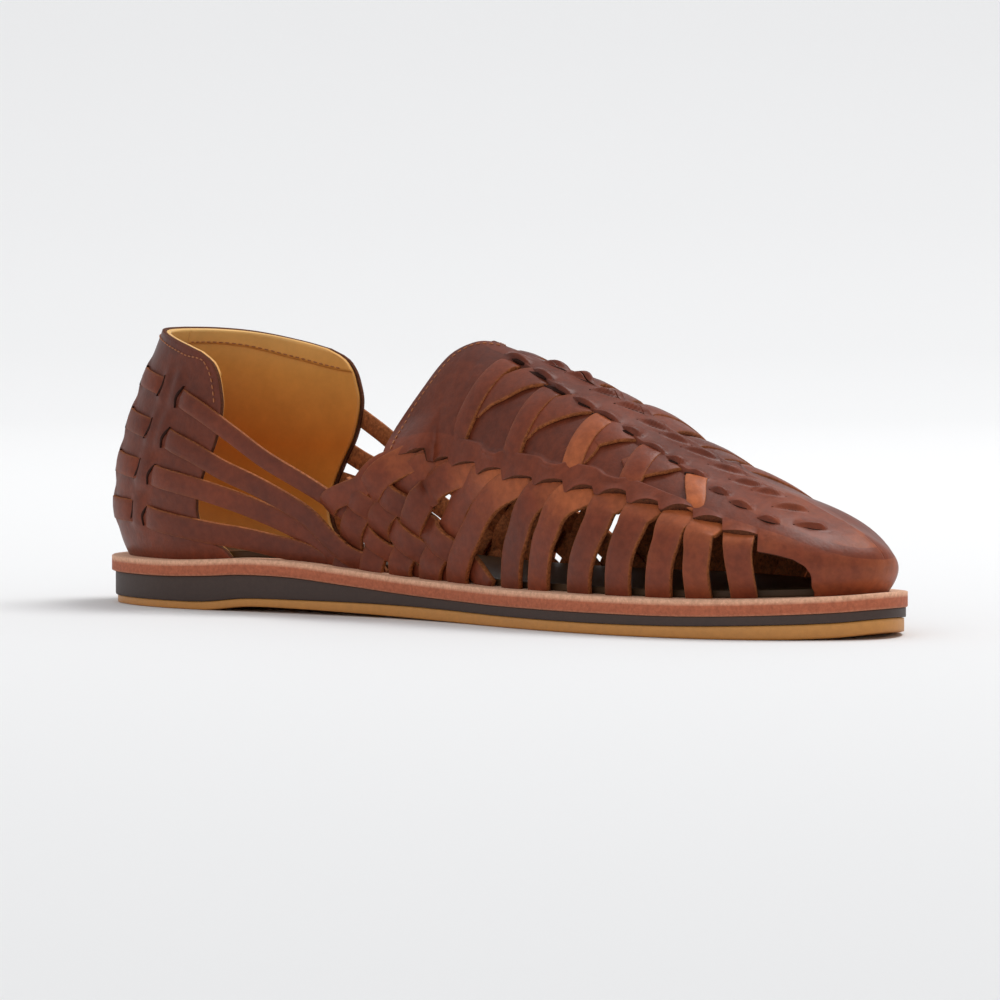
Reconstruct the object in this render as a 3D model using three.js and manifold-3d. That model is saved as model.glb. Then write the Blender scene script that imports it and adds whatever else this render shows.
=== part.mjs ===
// Woven leather huarache sandal, one left shoe, millimetres, +X toe, +Y outer side, +Z up.
// Origin: middle of the welt's length and width, on the ground.
import * as THREE from 'three';
import Module from 'manifold-3d';

const wasm = await Module();
wasm.setup();

// Driving dimensions
const LENGTH = 298;          // outsole, heel to toe
const BALL_WIDTH = 104;      // outsole across the ball
const COLLAR_HEIGHT = 86;    // top line at the back of the heel
const TONGUE_HEIGHT = 84;    // top of the tongue
const COLLAR_WIDTH = 67;     // opening, inner to outer side
const TONGUE_AT = 148;       // tongue's peak, from the heel end of the sole
const HEEL_SET = 22;         // top line behind the heel, from the heel end of the sole
const TOE_SET = 15;          // end of the ridge, from the toe end of the sole
const ARCH_LIFT = 1.5;       // gum above the ground under the arch
const TOE_SPRING = 2.2;
const GUM = 3.4;             // outsole rubber at the ball
const WEDGE = 7.4;           // dark wedge at the heel
const WELT = 5.0;
const GAP = 0.3;             // air left between two pieces that rest on each other
const LEATHER = 2.0;         // thickness of the upper's sheets
const STRIP = 1.7;           // thickness of the woven strips
const FEATHER_INSET = 5.5;   // welt edge to the foot of the upper
const INSOLE_INSET = 9.3;
const INSOLE_THICK = 2.0;
const WEDGE_INSET = 1.2;     // side steps of the sole stack at the heel
const GUM_INSET = 1.9;
const STRIP_WIDTH = 8.4;     // side strips
const STRAP_WIDTH = 6.4;     // heel straps
const TOP_WIDTH = 7.6;       // short strips across the vamp
const TANG_WIDTH = 4.6;      // the last short strip narrows to this
const RECESS = 1.3;          // how deep the vamp lies under the short strips
const SPECK = 1;             // cut-off crumbs smaller than this many cubic millimetres are dropped
const SOLE_STEPS = 30;       // outline steps on each side
const WELD = 0.02;           // grid points closer than this become one

// Smooth curve through a short table
function curve(xs, ys) {
  const last = xs.length - 1;
  const slope = xs.map((x, i) => {
    const a = Math.max(i - 1, 0);
    const b = Math.min(i + 1, last);
    return (ys[b] - ys[a]) / (xs[b] - xs[a]);
  });
  return (value) => {
    const x = Math.min(Math.max(value, xs[0]), xs[last]);
    let i = 0;
    while (i < last - 1 && x > xs[i + 1]) i += 1;
    const h = xs[i + 1] - xs[i];
    const t = (x - xs[i]) / h;
    const t2 = t * t;
    const t3 = t2 * t;
    return (2 * t3 - 3 * t2 + 1) * ys[i] + (t3 - 2 * t2 + t) * h * slope[i]
      + (3 * t2 - 2 * t3) * ys[i + 1] + (t3 - t2) * h * slope[i + 1];
  };
}

// Straight interpolation through a short table
function line(xs, ys) {
  return (x) => {
    if (x <= xs[0]) return ys[0];
    for (let i = 1; i < xs.length; i += 1) {
      if (x <= xs[i]) return ys[i - 1] + (ys[i] - ys[i - 1]) * (x - xs[i - 1]) / (xs[i] - xs[i - 1]);
    }
    return ys[ys.length - 1];
  };
}

// Sole outline: shares of the length from the heel, and of the ball width on each side
const OUT_AT = [0, 0.02, 0.06, 0.13, 0.20, 0.32, 0.42, 0.52, 0.62, 0.70, 0.78, 0.86, 0.93, 0.975, 1];
const OUT_IN = [0, -0.16, -0.255, -0.325, -0.335, -0.30, -0.285, -0.32, -0.395, -0.44, -0.455, -0.425,
  -0.335, -0.225, -0.08];
const OUT_OUT = [0, 0.16, 0.25, 0.32, 0.335, 0.36, 0.41, 0.475, 0.52, 0.517, 0.457, 0.358, 0.228, 0.10,
  -0.08];
const turn = (share) => Math.acos(1 - 2 * share) / Math.PI;
const OUT_TURN = OUT_AT.map(turn);
const outlineIn = curve(OUT_TURN, OUT_IN);
const outlineOut = curve(OUT_TURN, OUT_OUT);

// Sole stack along the length, each row a share of its own size: arch, toe spring, gum and wedge
const STACK_AT = [0, 0.08, 0.15, 0.20, 0.25, 0.31, 0.37, 0.46, 0.57, 0.67, 0.75, 0.84, 0.91, 0.97, 1];
const archShare = curve(STACK_AT, [0, 0, 0, 0, 1, 1, 0.73, 0.33, 0, 0, 0, 0, 0, 0, 0]);
const springShare = curve(STACK_AT, [0, 0, 0, 0, 0, 0, 0, 0, 0, 0, 0, 0, 0, 0.32, 1]);
const gumShare = curve(STACK_AT, [0.7, 0.7, 0.7, 0.76, 0.74, 0.8, 0.91, 1.03, 1, 0.94, 0.94, 1.03, 1.2, 1.24,
  1.12]);
const wedgeShare = curve(STACK_AT, [1, 1, 1.01, 1.05, 0.97, 0.9, 0.7, 0.46, 0.39, 0.39, 0.39, 0.37, 0.37, 0.38,
  0.36]);
const ground = (share) => Math.max(0, ARCH_LIFT * archShare(share) + TOE_SPRING * springShare(share));
const gumTop = (share) => ground(share) + GUM * gumShare(share);
const wedgeTop = (share) => gumTop(share) + WEDGE * wedgeShare(share);
const weltTop = (share) => wedgeTop(share) + WELT;
const stepShare = line([0, 0.4, 1], [1, 0.7, 0.4]);
const shareOf = (x) => x / LENGTH + 0.5;

// Outline point at a turn (0 heel, 1 toe) on the inner (-1) or outer (+1) side
function outlinePoint(angle, side) {
  const y = side < 0 ? outlineIn(angle) : outlineOut(angle);
  return [-Math.cos(Math.PI * angle) * LENGTH / 2, y * BALL_WIDTH];
}

function outlineWalk(step, count) {
  const k = ((step % (2 * count)) + 2 * count) % (2 * count);
  return k <= count ? outlinePoint(k / count, -1) : outlinePoint((2 * count - k) / count, 1);
}

// Closed ring, heel to toe on the inner side and back on the outer side, moved in by an inset
// whose share of itself may change along the length
function ring(count, inset, share = () => 1) {
  const points = [];
  for (let k = 0; k < 2 * count; k += 1) {
    const p = outlineWalk(k, count);
    const a = outlineWalk(k - 0.4, count);
    const b = outlineWalk(k + 0.4, count);
    const tx = b[0] - a[0];
    const ty = b[1] - a[1];
    const size = Math.hypot(tx, ty);
    const move = inset * share(shareOf(p[0]));
    points.push([p[0] - move * ty / size, p[1] + move * tx / size]);
  }
  return points;
}

// Triangle lists become closed solids
function solid(points, faces) {
  let volume = 0;
  const corner = (i) => points[i];
  faces.forEach(([a, b, c]) => {
    const p = corner(a);
    const q = corner(b);
    const r = corner(c);
    volume += p[0] * (q[1] * r[2] - q[2] * r[1]) - p[1] * (q[0] * r[2] - q[2] * r[0])
      + p[2] * (q[0] * r[1] - q[1] * r[0]);
  });
  const tris = volume > 0 ? faces : faces.map(([a, b, c]) => [a, c, b]);
  const mesh = new wasm.Mesh({
    numProp: 3,
    vertProperties: new Float32Array(points.flat()),
    triVerts: new Uint32Array(tris.flat()),
  });
  return new wasm.Manifold(mesh);
}

// Flat slab of the sole between two height curves
function slab(count, inset, low, high, share) {
  const edge = ring(count, inset, share);
  const total = edge.length;
  const points = [];
  edge.forEach(([x, y]) => points.push([x, y, low(shareOf(x))]));
  edge.forEach(([x, y]) => points.push([x, y, high(shareOf(x))]));
  const faces = [];
  for (let k = 0; k < total; k += 1) {
    const n = (k + 1) % total;
    faces.push([k, n, total + n], [k, total + n, total + k]);
  }
  for (let i = 0; i < count; i += 1) {
    const a = i;
    const b = i + 1;
    const c = (total - i - 1) % total;
    const d = (total - i) % total;
    if (b !== c) faces.push([a, c, b], [total + a, total + b, total + c]);
    if (a !== d) faces.push([a, d, c], [total + a, total + c, total + d]);
  }
  return solid(points, faces);
}

// Surface of the last. u runs 0 at the toe to 1 at the heel, v runs 0 at the welt to 1 at the top line.
const TOP_TOE = LENGTH / 2 - TOE_SET;
const TOP_HEEL = HEEL_SET - LENGTH / 2;
const TONGUE_PEAK = TONGUE_AT - LENGTH / 2;
const RIDGE_AT = [0.40, 0.50, 0.53, 0.57, 0.61, 0.65, 0.70, 0.75, 0.80, 0.85, 0.90, 0.95, 0.985];
const ridgeShare = curve(RIDGE_AT, [1, 1, 0.970, 0.932, 0.888, 0.837, 0.765, 0.671, 0.595, 0.520, 0.465, 0.389,
  0.356]);
const ridgeHeight = (share) => TONGUE_HEIGHT * ridgeShare(share);
const sideShare = curve([0.40, 0.5, 0.6, 0.7, 0.8, 0.9, 1],
  [-0.067, -0.077, -0.101, -0.115, -0.115, -0.101, -0.082]);
const ridgeSide = (share) => BALL_WIDTH * sideShare(share);
const COLLAR_POWER = 2.3;
const COLLAR_BLEND = 0.32;
const AT_U = [0, 0.1, 0.2, 0.3, 0.4, 0.47, 0.514, 0.56, 0.62, 0.7, 0.8, 0.9, 1];
const bulge = curve(AT_U, [0.080, 0.076, 0.105, 0.077, 0.077, 0.067, 0.058, 0.048, 0.048, 0.058, 0.087, 0.115,
  0.115]);
const rise = curve(AT_U, [0.115, 0.127, 0.192, 0.233, 0.279, 0.326, 0.326, 0.302, 0.279, 0.256, 0.256, 0.256,
  0.256]);
const crownIn = curve(AT_U, [0.110, 0.154, 0.212, 0.212, 0.212, 0.192, 0.173, 0.192, 0.231, 0.25, 0.25, 0.173,
  0.173]);
const crownOut = curve(AT_U, [0.110, 0.154, 0.212, 0.25, 0.25, 0.212, 0.192, 0.192, 0.231, 0.25, 0.25, 0.173,
  0.173]);
const crownAngle = curve(AT_U, [9.6, 9.6, 4.9, 0, 0, 8, 20, 58, 82, 88, 84, 72, 70]);      // degrees
const BELOW = -0.06;         // sheets and strips run down to this v, to be trimmed at the welt

function feather(u, side) {
  const angle = 1 - u;
  const at = side < 0 ? angle : 2 - angle;
  const p = outlineWalk(at, 1);
  const a = outlineWalk(at - 0.006, 1);
  const b = outlineWalk(at + 0.006, 1);
  const size = Math.hypot(b[0] - a[0], b[1] - a[1]);
  const nx = (b[1] - a[1]) / size;
  const ny = -(b[0] - a[0]) / size;
  return { x: p[0] - FEATHER_INSET * nx, y: p[1] - FEATHER_INSET * ny, nx, ny };
}

// The tongue's sides keep to the ridge line a little way behind its peak: all of it high up, none low down
const TONGUE_LOW = 0.35;
const TONGUE_HIGH = 0.60;
const TONGUE_REAR = 0.55;
const TONGUE_END = 0.60;
const smooth = (value) => {
  const t = Math.min(Math.max(value, 0), 1);
  return t * t * (3 - 2 * t);
};

function topLine(u, v, side) {
  const x = (TOP_TOE + TOP_HEEL) / 2 + (TOP_TOE - TOP_HEEL) / 2 * Math.cos(Math.PI * u);
  const tongue = smooth((v - TONGUE_LOW) / (TONGUE_HIGH - TONGUE_LOW))
    * (1 - smooth((u - TONGUE_REAR) / (TONGUE_END - TONGUE_REAR)));
  const ridge = x >= TONGUE_PEAK ? 1 : tongue;
  const middle = (TONGUE_PEAK + TOP_HEEL) / 2;
  const half = (TONGUE_PEAK - TOP_HEEL) / 2;
  const k = Math.min(1, Math.abs((x - middle) / half));
  const blend = Math.min(1, (TONGUE_PEAK - x) / (2 * half * COLLAR_BLEND));
  const open = side * COLLAR_WIDTH / 2 * (1 - k ** COLLAR_POWER) ** (1 / COLLAR_POWER);
  const collar = ridgeSide(shareOf(TONGUE_PEAK)) * (1 - blend) + open;
  return [x, ridge * ridgeSide(shareOf(x)) + (1 - ridge) * collar,
    ridge * ridgeHeight(shareOf(x)) + (1 - ridge) * COLLAR_HEIGHT];
}

function surface(u, v, side) {
  const foot = feather(u, side);
  const p0 = [foot.x, foot.y, weltTop(shareOf(foot.x))];
  const p3 = topLine(u, v, side);
  const s = shareOf(p3[0]);
  const slope = p3[0] > TONGUE_PEAK ? (ridgeHeight(s + 0.005) - ridgeHeight(s - 0.005)) / (0.01 * LENGTH) : 0;
  const angle = crownAngle(u) * Math.PI / 180;
  const crown = BALL_WIDTH * (side < 0 ? crownIn(u) : crownOut(u));
  const flat = Math.cos(angle) * crown;
  const belly = BALL_WIDTH * bulge(u);
  const p1 = [p0[0] + foot.nx * belly, p0[1] + foot.ny * belly, p0[2] + COLLAR_HEIGHT * rise(u)];
  const p2 = [p3[0] + foot.nx * flat, p3[1] + foot.ny * flat, p3[2] + foot.nx * slope * flat
    - Math.sin(angle) * crown];
  const w = 1 - v;
  const f = [w * w * w, 3 * w * w * v, 3 * w * v * v, v * v * v];
  return [0, 1, 2].map((i) => f[0] * p0[i] + f[1] * p1[i] + f[2] * p2[i] + f[3] * p3[i]);
}

const minus = (a, b) => [a[0] - b[0], a[1] - b[1], a[2] - b[2]];
const along = (a, b, k) => [a[0] + b[0] * k, a[1] + b[1] * k, a[2] + b[2] * k];
const cross = (a, b) => [a[1] * b[2] - a[2] * b[1], a[2] * b[0] - a[0] * b[2], a[0] * b[1] - a[1] * b[0]];
const unit = (a) => {
  const size = Math.hypot(...a) || 1;
  return [a[0] / size, a[1] / size, a[2] / size];
};

// Outward direction of the last, kept away from the two end seams and the ridge
function outward(u, v, side) {
  const uu = Math.min(Math.max(u, 0.004), 0.996);
  const vv = Math.min(Math.max(v, 0.01), 0.985);
  const du = minus(surface(uu + 0.003, vv, side), surface(uu - 0.003, vv, side));
  const dv = minus(surface(uu, vv + 0.01, side), surface(uu, vv - 0.01, side));
  const n = unit(cross(du, dv));
  const sign = side < 0 ? 1 : -1;
  const p = surface(uu, vv, side);
  const out = [n[0] * sign, n[1] * sign, n[2] * sign];
  const away = out[0] * (p[0] * 0.3) + out[1] * (p[1] + 8) + out[2] * 12;
  return away < 0 ? [-out[0], -out[1], -out[2]] : out;
}

// Leather sheet over a grid of the last, with some cells left open
function sheet(rows, cols, place, keep) {
  const outer = new Map();
  const nodes = [];
  const find = (side, i, j) => {
    const [u, v, lift] = place(i, j, side);
    const p = along(surface(u, v, side), outward(u, v, side), lift);
    const key = p.map((c) => Math.round(c / WELD)).join(' ');
    if (!outer.has(key)) {
      outer.set(key, nodes.length);
      nodes.push({ p, n: [0, 0, 0] });
    }
    const id = outer.get(key);
    nodes[id].n = along(nodes[id].n, outward(u, v, side), 1);
    return id;
  };
  const tops = [];
  [-1, 1].forEach((side) => {
    for (let i = 0; i < rows; i += 1) {
      for (let j = 0; j < cols; j += 1) {
        if (keep(i, j, side)) {
          const a = find(side, i, j);
          const b = find(side, i + 1, j);
          const c = find(side, i + 1, j + 1);
          const d = find(side, i, j + 1);
          const quad = side < 0 ? [a, b, c, d] : [d, c, b, a];
          if (quad[0] !== quad[1] && quad[1] !== quad[2]) tops.push([quad[0], quad[1], quad[2]]);
          if (quad[2] !== quad[3] && quad[3] !== quad[0]) tops.push([quad[0], quad[2], quad[3]]);
        }
      }
    }
  });
  const total = nodes.length;
  const points = nodes.map(({ p }) => p).concat(nodes.map(({ p, n }) => along(p, unit(n), -LEATHER)));
  const faces = [];
  const edges = new Map();
  tops.forEach(([a, b, c]) => {
    faces.push([a, b, c], [total + a, total + c, total + b]);
    [[a, b], [b, c], [c, a]].forEach(([p, q]) => edges.set(`${p} ${q}`, [p, q]));
  });
  edges.forEach(([p, q]) => {
    if (!edges.has(`${q} ${p}`)) faces.push([q, p, total + p], [q, total + p, total + q]);
  });
  return solid(points, faces);
}

// Flat leather strip along a path of [u, v, lift] points, the lift in strip thicknesses. A side of 0
// wraps round the heel. The width may change evenly to an end width.
function strip(path, side, width, segments, endWidth = width) {
  const at = path.map((p, i) => i / (path.length - 1));
  const [us, vs, lifts] = [0, 1, 2].map((i) => curve(at, path.map((p) => p[i])));
  const where = (t) => {
    const u = us(t);
    if (side !== 0) return [u, vs(t), side];
    return u <= 1 ? [u, vs(t), -1] : [2 - u, vs(t), 1];
  };
  const points = [];
  for (let i = 0; i <= segments; i += 1) {
    const t = i / segments;
    const a = surface(...where(Math.max(t - 0.02, 0)));
    const b = surface(...where(Math.min(t + 0.02, 1)));
    const n = outward(...where(t));
    const across = unit(cross(n, unit(minus(b, a))));
    const half = (width + (endWidth - width) * t) / 2;
    const p = along(surface(...where(t)), n, lifts(t) * STRIP);
    const q = along(p, n, -STRIP);
    points.push(along(p, across, -half), along(p, across, half));
    points.push(along(q, across, half), along(q, across, -half));
  }
  const faces = [[0, 1, 2], [0, 2, 3]];
  for (let i = 0; i < segments; i += 1) {
    for (let k = 0; k < 4; k += 1) {
      const a = 4 * i + k;
      const b = 4 * i + (k + 1) % 4;
      faces.push([a, a + 4, b + 4], [a, b + 4, b]);
    }
  }
  const e = 4 * segments;
  faces.push([e, e + 2, e + 1], [e, e + 3, e + 2]);
  return solid(points, faces);
}

// Edges of the vamp sheet: band under the short strips, window above it, band along the ridge
const bandLow = line(
  [0, 0.125, 0.130, 0.142, 0.156, 0.190, 0.197, 0.228, 0.256, 0.287, 0.345, 0.403, 0.463, 0.512, 0.547],
  [0.08, 0.08, 0.16, 0.259, 0.306, 0.325, 0.46, 0.49, 0.49, 0.465, 0.42, 0.395, 0.395, 0.41, 0.42]);
const bandHigh = line([0, 0.2, 0.245, 0.31, 0.37, 0.43, 0.49, 0.55],
  [0.32, 0.52, 0.56, 0.565, 0.515, 0.475, 0.48, 0.5]);
const ridgeIn = line([0, 0.187, 0.218, 0.241, 0.265, 0.29, 0.335, 0.381, 0.406, 0.428, 0.46, 0.52],
  [0.6, 0.604, 0.677, 0.72, 0.76, 0.78, 0.80, 0.81, 0.822, 0.868, 0.915, 0.93]);
const ridgeOut = line([0, 0.22, 0.27, 0.46, 0.52], [0.80, 0.88, 0.955, 0.965, 0.95]);
const ridgeEdge = (u, side) => (side < 0 ? ridgeIn(u) : ridgeOut(u));
const tongueEdge = line([0.42, 0.50, 0.573, 0.63, 0.715, 0.795, 0.853, 0.902, 0.945, 1],
  [0.550, 0.554, 0.556, 0.552, 0.540, 0.531, 0.525, 0.517, 0.510, 0.507]);
const tongueStart = line([0.45, 0.52, 0.63, 0.72, 0.81, 1], [0.500, 0.490, 0.480, 0.474, 0.470, 0.465]);
const VAMP_U = [0, 0.03, 0.06, 0.09, 0.125, 0.142, 0.165, 0.190, 0.198, 0.24, 0.27, 0.30, 0.33, 0.36, 0.39,
  0.42, 0.45];
const WINDOW_START = 10;
const CAP_END = 4;
const TONGUE_ROWS = 3;

function vampPlace(i, j, side) {
  const levels = (u) => {
    const low = bandLow(u);
    const high = bandHigh(u);
    const near = ridgeEdge(u, side);
    return [BELOW, low / 2, low, high, high + (near - high) / 3, high + (near - high) * 2 / 3, near, 1][j];
  };
  const last = VAMP_U.length - 1;
  if (i <= last) {
    const sunk = i >= WINDOW_START && (j === 4 || j === 5);
    return [VAMP_U[i], levels(VAMP_U[i]), sunk ? -RECESS : 0];
  }
  const v = levels(0.48);
  const start = tongueStart(v);
  const u = start + (tongueEdge(v) - start) * (i - last - 1) / TONGUE_ROWS;
  return [u, levels(u), 0];
}

const vampKeep = (i, j) => j > 1 || i < CAP_END;

// Heel counter sheet: its front edge, and its top line falling from the heel to the front corner
const counterFront = curve([0, 0.05, 0.10, 0.22, 0.32, 0.45, 0.62, 0.78, 0.874, 0.934, 0.98, 1],
  [0.685, 0.692, 0.707, 0.719, 0.722, 0.720, 0.714, 0.716, 0.724, 0.732, 0.745, 0.765]);
const collarShare = curve([0.70, 0.75, 0.80, 0.87, 0.94, 1], [0.87, 0.90, 0.94, 0.975, 0.995, 1]);
const COUNTER_V = [BELOW, 0.05, 0.14, 0.32, 0.50, 0.68, 0.83, 0.93, 1];
const COUNTER_T = [0, 0.2, 0.42, 0.62, 0.81, 1];

function counterPlace(i, j) {
  const share = COUNTER_V[j];
  const front = counterFront(share);
  const u = front + (1 - front) * COUNTER_T[i];
  return [u, share * collarShare(u), 0];
}

const pieces = [
  sheet(VAMP_U.length + TONGUE_ROWS, 7, vampPlace, vampKeep),
  sheet(COUNTER_T.length - 1, COUNTER_V.length - 1, counterPlace, () => true),
];

// The rear side strips and the front ends of the heel straps pass over and under each other. Side strip i
// (1 at the tongue) meets strap j (0 foremost) at v = WEAVE_TOP - STRIP_STEP * (i - 1) - STRAP_STEP * j.
const WEAVE_TOP = 0.33;
const STRIP_STEP = 0.065;
const STRAP_STEP = 0.09;
const WAVE = 0.42;           // in strip thicknesses
const stripWave = (i, v) => {
  const turns = (WEAVE_TOP - STRIP_STEP * (i - 1) - v) / STRAP_STEP;
  return turns < -0.5 ? 0.2 : WAVE * Math.cos(Math.PI * turns) * (i % 2 ? 1 : -1);
};
const strapWave = (j, v) => -WAVE * Math.cos(Math.PI * ((WEAVE_TOP - STRAP_STEP * j - v) / STRIP_STEP + j));

// Side strips from the toe: where each leaves the band, its shoulder, middle and foot
const SHOULDER_V = 0.32;
const MIDDLE_V = 0.20;
const SIDE = [
  { top: 0.212, high: 0.445, shoulder: 0.2105, middle: 0.208, foot: 0.205 },
  { top: 0.242, high: 0.468, shoulder: 0.247, middle: 0.249, foot: 0.250 },
  { top: 0.268, high: 0.474, shoulder: 0.275, middle: 0.281, foot: 0.289 },
  { top: 0.299, high: 0.462, shoulder: 0.310, middle: 0.318, foot: 0.328 },
  { top: 0.328, high: 0.449, shoulder: 0.340, middle: 0.350, foot: 0.366 },
  { top: 0.359, high: 0.416, shoulder: 0.379, middle: 0.391, foot: 0.407 },
  { top: 0.388, high: 0.400, shoulder: 0.405, middle: 0.418, foot: 0.435 },
  { top: 0.423, high: 0.375, shoulder: 0.441, middle: 0.463, foot: 0.486 },
  { top: 0.448, high: 0.383, shoulder: 0.472, middle: 0.491, foot: 0.515 },
  { top: 0.476, high: 0.377, shoulder: 0.502, middle: 0.520, foot: 0.542 },
  { top: 0.503, high: 0.389, shoulder: 0.529, middle: 0.542, foot: 0.563 },
  { top: 0.519, high: 0.417, shoulder: 0.555, middle: 0.562, foot: 0.577 },
];
// Short strips across the vamp, tongue first: foot on the band, top on the ridge band, and the
// slit in front of it that the diagonal comes out of, with where the diagonal ends
const SHORT = [
  { foot: 0.487, low: 0.49, top: 0.462, slit: 0.428, end: 0.62 },
  { foot: 0.428, low: 0.48, top: 0.409, slit: 0.381, end: 0.59 },
  { foot: 0.369, low: 0.52, top: 0.357, slit: 0.335, end: 0.57 },
  { foot: 0.317, low: 0.57, top: 0.312, slit: 0.290, end: 0.62 },
  { foot: 0.256, low: 0.57, top: 0.266, slit: 0.241, end: 0.64 },
];
// Heel straps from the top: heights at these places, and the front end in the weave
const STRAP_AT = [0.602, 0.640, 0.680, 0.722, 0.758, 0.782, 0.803, 0.835, 0.885, 0.925, 0.962, 1];
const STRAP_LIFT = [0.1, 0.2, 0.2, 0.5, 0.7, 0.55, -0.12, 0.55, 0.55, -0.12, 0.55, 0.6];
const STRAP = [
  { front: [[0.503, 0.03], [0.524, 0.109], [0.541, 0.166], [0.560, 0.225], [0.578, 0.262]],
    heights: [0.296, 0.395, 0.515, 0.625, 0.695, 0.728, 0.745, 0.757] },
  { front: [[0.530, 0.0], [0.545, 0.066], [0.561, 0.129], [0.583, 0.185]],
    heights: [0.205, 0.265, 0.375, 0.465, 0.522, 0.551, 0.568, 0.58] },
  { front: [[0.568, 0.0], [0.585, 0.07]],
    heights: [0.110, 0.180, 0.262, 0.332, 0.367, 0.383, 0.394, 0.405] },
  { front: [[0.590, 0.0]],
    heights: [0.028, 0.058, 0.100, 0.143, 0.175, 0.193, 0.207, 0.22] },
];
const FOLD = [[0.546, 0.41], [0.557, 0.357], [0.569, 0.318], [0.581, 0.282], [0.589, 0.222], [0.592, 0.14],
  [0.598, 0.07], [0.600, -0.05]];
const FIRST_DIAGONAL = [[0.556, 0.345], [0.545, 0.297], [0.533, 0.253], [0.518, 0.197], [0.501, 0.136],
  [0.485, 0.085], [0.468, 0.02]];
const REAR_FROM = 7;         // from this side strip on the strips weave
const TUCKED = -0.1;         // lift of a strip's end that dips into the sheet, in strip thicknesses

[-1, 1].forEach((side) => {
  SIDE.forEach(({ top, high, shoulder, middle, foot }, k) => {
    const rear = k >= REAR_FROM;
    const lift = (v) => (rear ? stripWave(SIDE.length - k, v) : 0.25);
    const half = MIDDLE_V / 2;
    const path = [[top - 0.002, high + 0.05, TUCKED], [top, high, 0.1],
      [shoulder, SHOULDER_V, lift(SHOULDER_V)], [middle, MIDDLE_V, lift(MIDDLE_V)],
      [(middle + foot) / 2, half, lift(half)], [foot, BELOW, 0]];
    pieces.push(strip(path, side, STRIP_WIDTH, rear ? 8 : 5));
  });
  SHORT.forEach(({ foot, low, top, slit, end }, k) => {
    const near = ridgeEdge(top, side);
    const mid = (low + near) / 2;
    const footWidth = k === SHORT.length - 1 ? TANG_WIDTH : TOP_WIDTH;
    const up = [[foot, low - 0.02, TUCKED], [foot - 0.003, low + 0.06, 0.4], [(foot + top) / 2, mid, 0.7],
      [top + 0.001, near - 0.05, 0.5], [top, near + 0.015, TUCKED]];
    pieces.push(strip(up, side, footWidth, 4, TOP_WIDTH));
    const nearSlit = ridgeEdge(slit, side);
    const back = foot - 0.014;
    const slanting = [[slit - 0.001, nearSlit + 0.015, TUCKED], [slit + 0.004, nearSlit - 0.04, 0.15],
      [(slit + back) / 2, (nearSlit + end) / 2, 0.1], [back, end, TUCKED]];
    pieces.push(strip(slanting, side, STRIP_WIDTH, 3));
  });
  pieces.push(strip(FIRST_DIAGONAL.map(([u, v]) => [u, v, strapWave(0, v)]), side, STRAP_WIDTH, 6));
  pieces.push(strip(FOLD.map(([u, v]) => [u, v, 0.35]), side, STRAP_WIDTH, 7));
});

STRAP.forEach(({ front, heights }, j) => {
  const weave = front.map(([u, v]) => [u, v, strapWave(j + 1, v)]);
  const last = heights[heights.length - 1];
  const rear = STRAP_AT.map((u, i) => [u, i < heights.length ? heights[i] : last, STRAP_LIFT[i]]);
  const half = [...weave, ...rear];
  const far = half.slice(0, -1).reverse().map(([u, v, lift]) => [2 - u, v, lift]);
  pieces.push(strip([...half, ...far], 0, STRAP_WIDTH, 2 * half.length - 2));
});

let upper = pieces[0];
pieces.slice(1).forEach((piece) => {
  upper = upper.add(piece);
});
// The upper's feet are trimmed a gap above the welt
const TRIM_MARGIN = 6;
const TRIM_DEPTH = 20;
upper = upper.subtract(slab(SOLE_STEPS, -TRIM_MARGIN, () => -TRIM_DEPTH, (s) => weltTop(s) + GAP));

const raise = (height, amount) => (s) => height(s) + amount;
const outsole = slab(SOLE_STEPS, GUM_INSET, ground, gumTop, stepShare);
const wedge = slab(SOLE_STEPS, WEDGE_INSET, raise(gumTop, GAP), wedgeTop, stepShare);
const welt = slab(SOLE_STEPS, 0, raise(wedgeTop, GAP), weltTop);
const insole = slab(SOLE_STEPS, INSOLE_INSET, raise(weltTop, GAP), raise(weltTop, GAP + INSOLE_THICK));

// The small air pockets sealed between stacked strips are closed up: only outer shells are kept
function shells(triVerts) {
  const root = new Map();
  const find = (v) => {
    let r = v;
    while (root.get(r) !== r) r = root.get(r);
    while (root.get(v) !== r) {
      const next = root.get(v);
      root.set(v, r);
      v = next;
    }
    return r;
  };
  triVerts.forEach((v) => {
    if (!root.has(v)) root.set(v, v);
  });
  for (let i = 0; i < triVerts.length; i += 3) {
    root.set(find(triVerts[i]), find(triVerts[i + 1]));
    root.set(find(triVerts[i + 1]), find(triVerts[i + 2]));
  }
  const groups = new Map();
  for (let i = 0; i < triVerts.length; i += 3) {
    const r = find(triVerts[i]);
    if (!groups.has(r)) groups.set(r, []);
    groups.get(r).push(triVerts[i], triVerts[i + 1], triVerts[i + 2]);
  }
  return [...groups.values()];
}

function volumeOf(position, tris) {
  let volume = 0;
  for (let i = 0; i < tris.length; i += 3) {
    const [a, b, c] = [0, 1, 2].map((k) => [0, 1, 2].map((n) => position[3 * tris[i + k] + n]));
    volume += (a[0] * (b[1] * c[2] - b[2] * c[1]) - a[1] * (b[0] * c[2] - b[2] * c[0])
      + a[2] * (b[0] * c[1] - b[1] * c[0])) / 6;
  }
  return volume;
}

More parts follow.
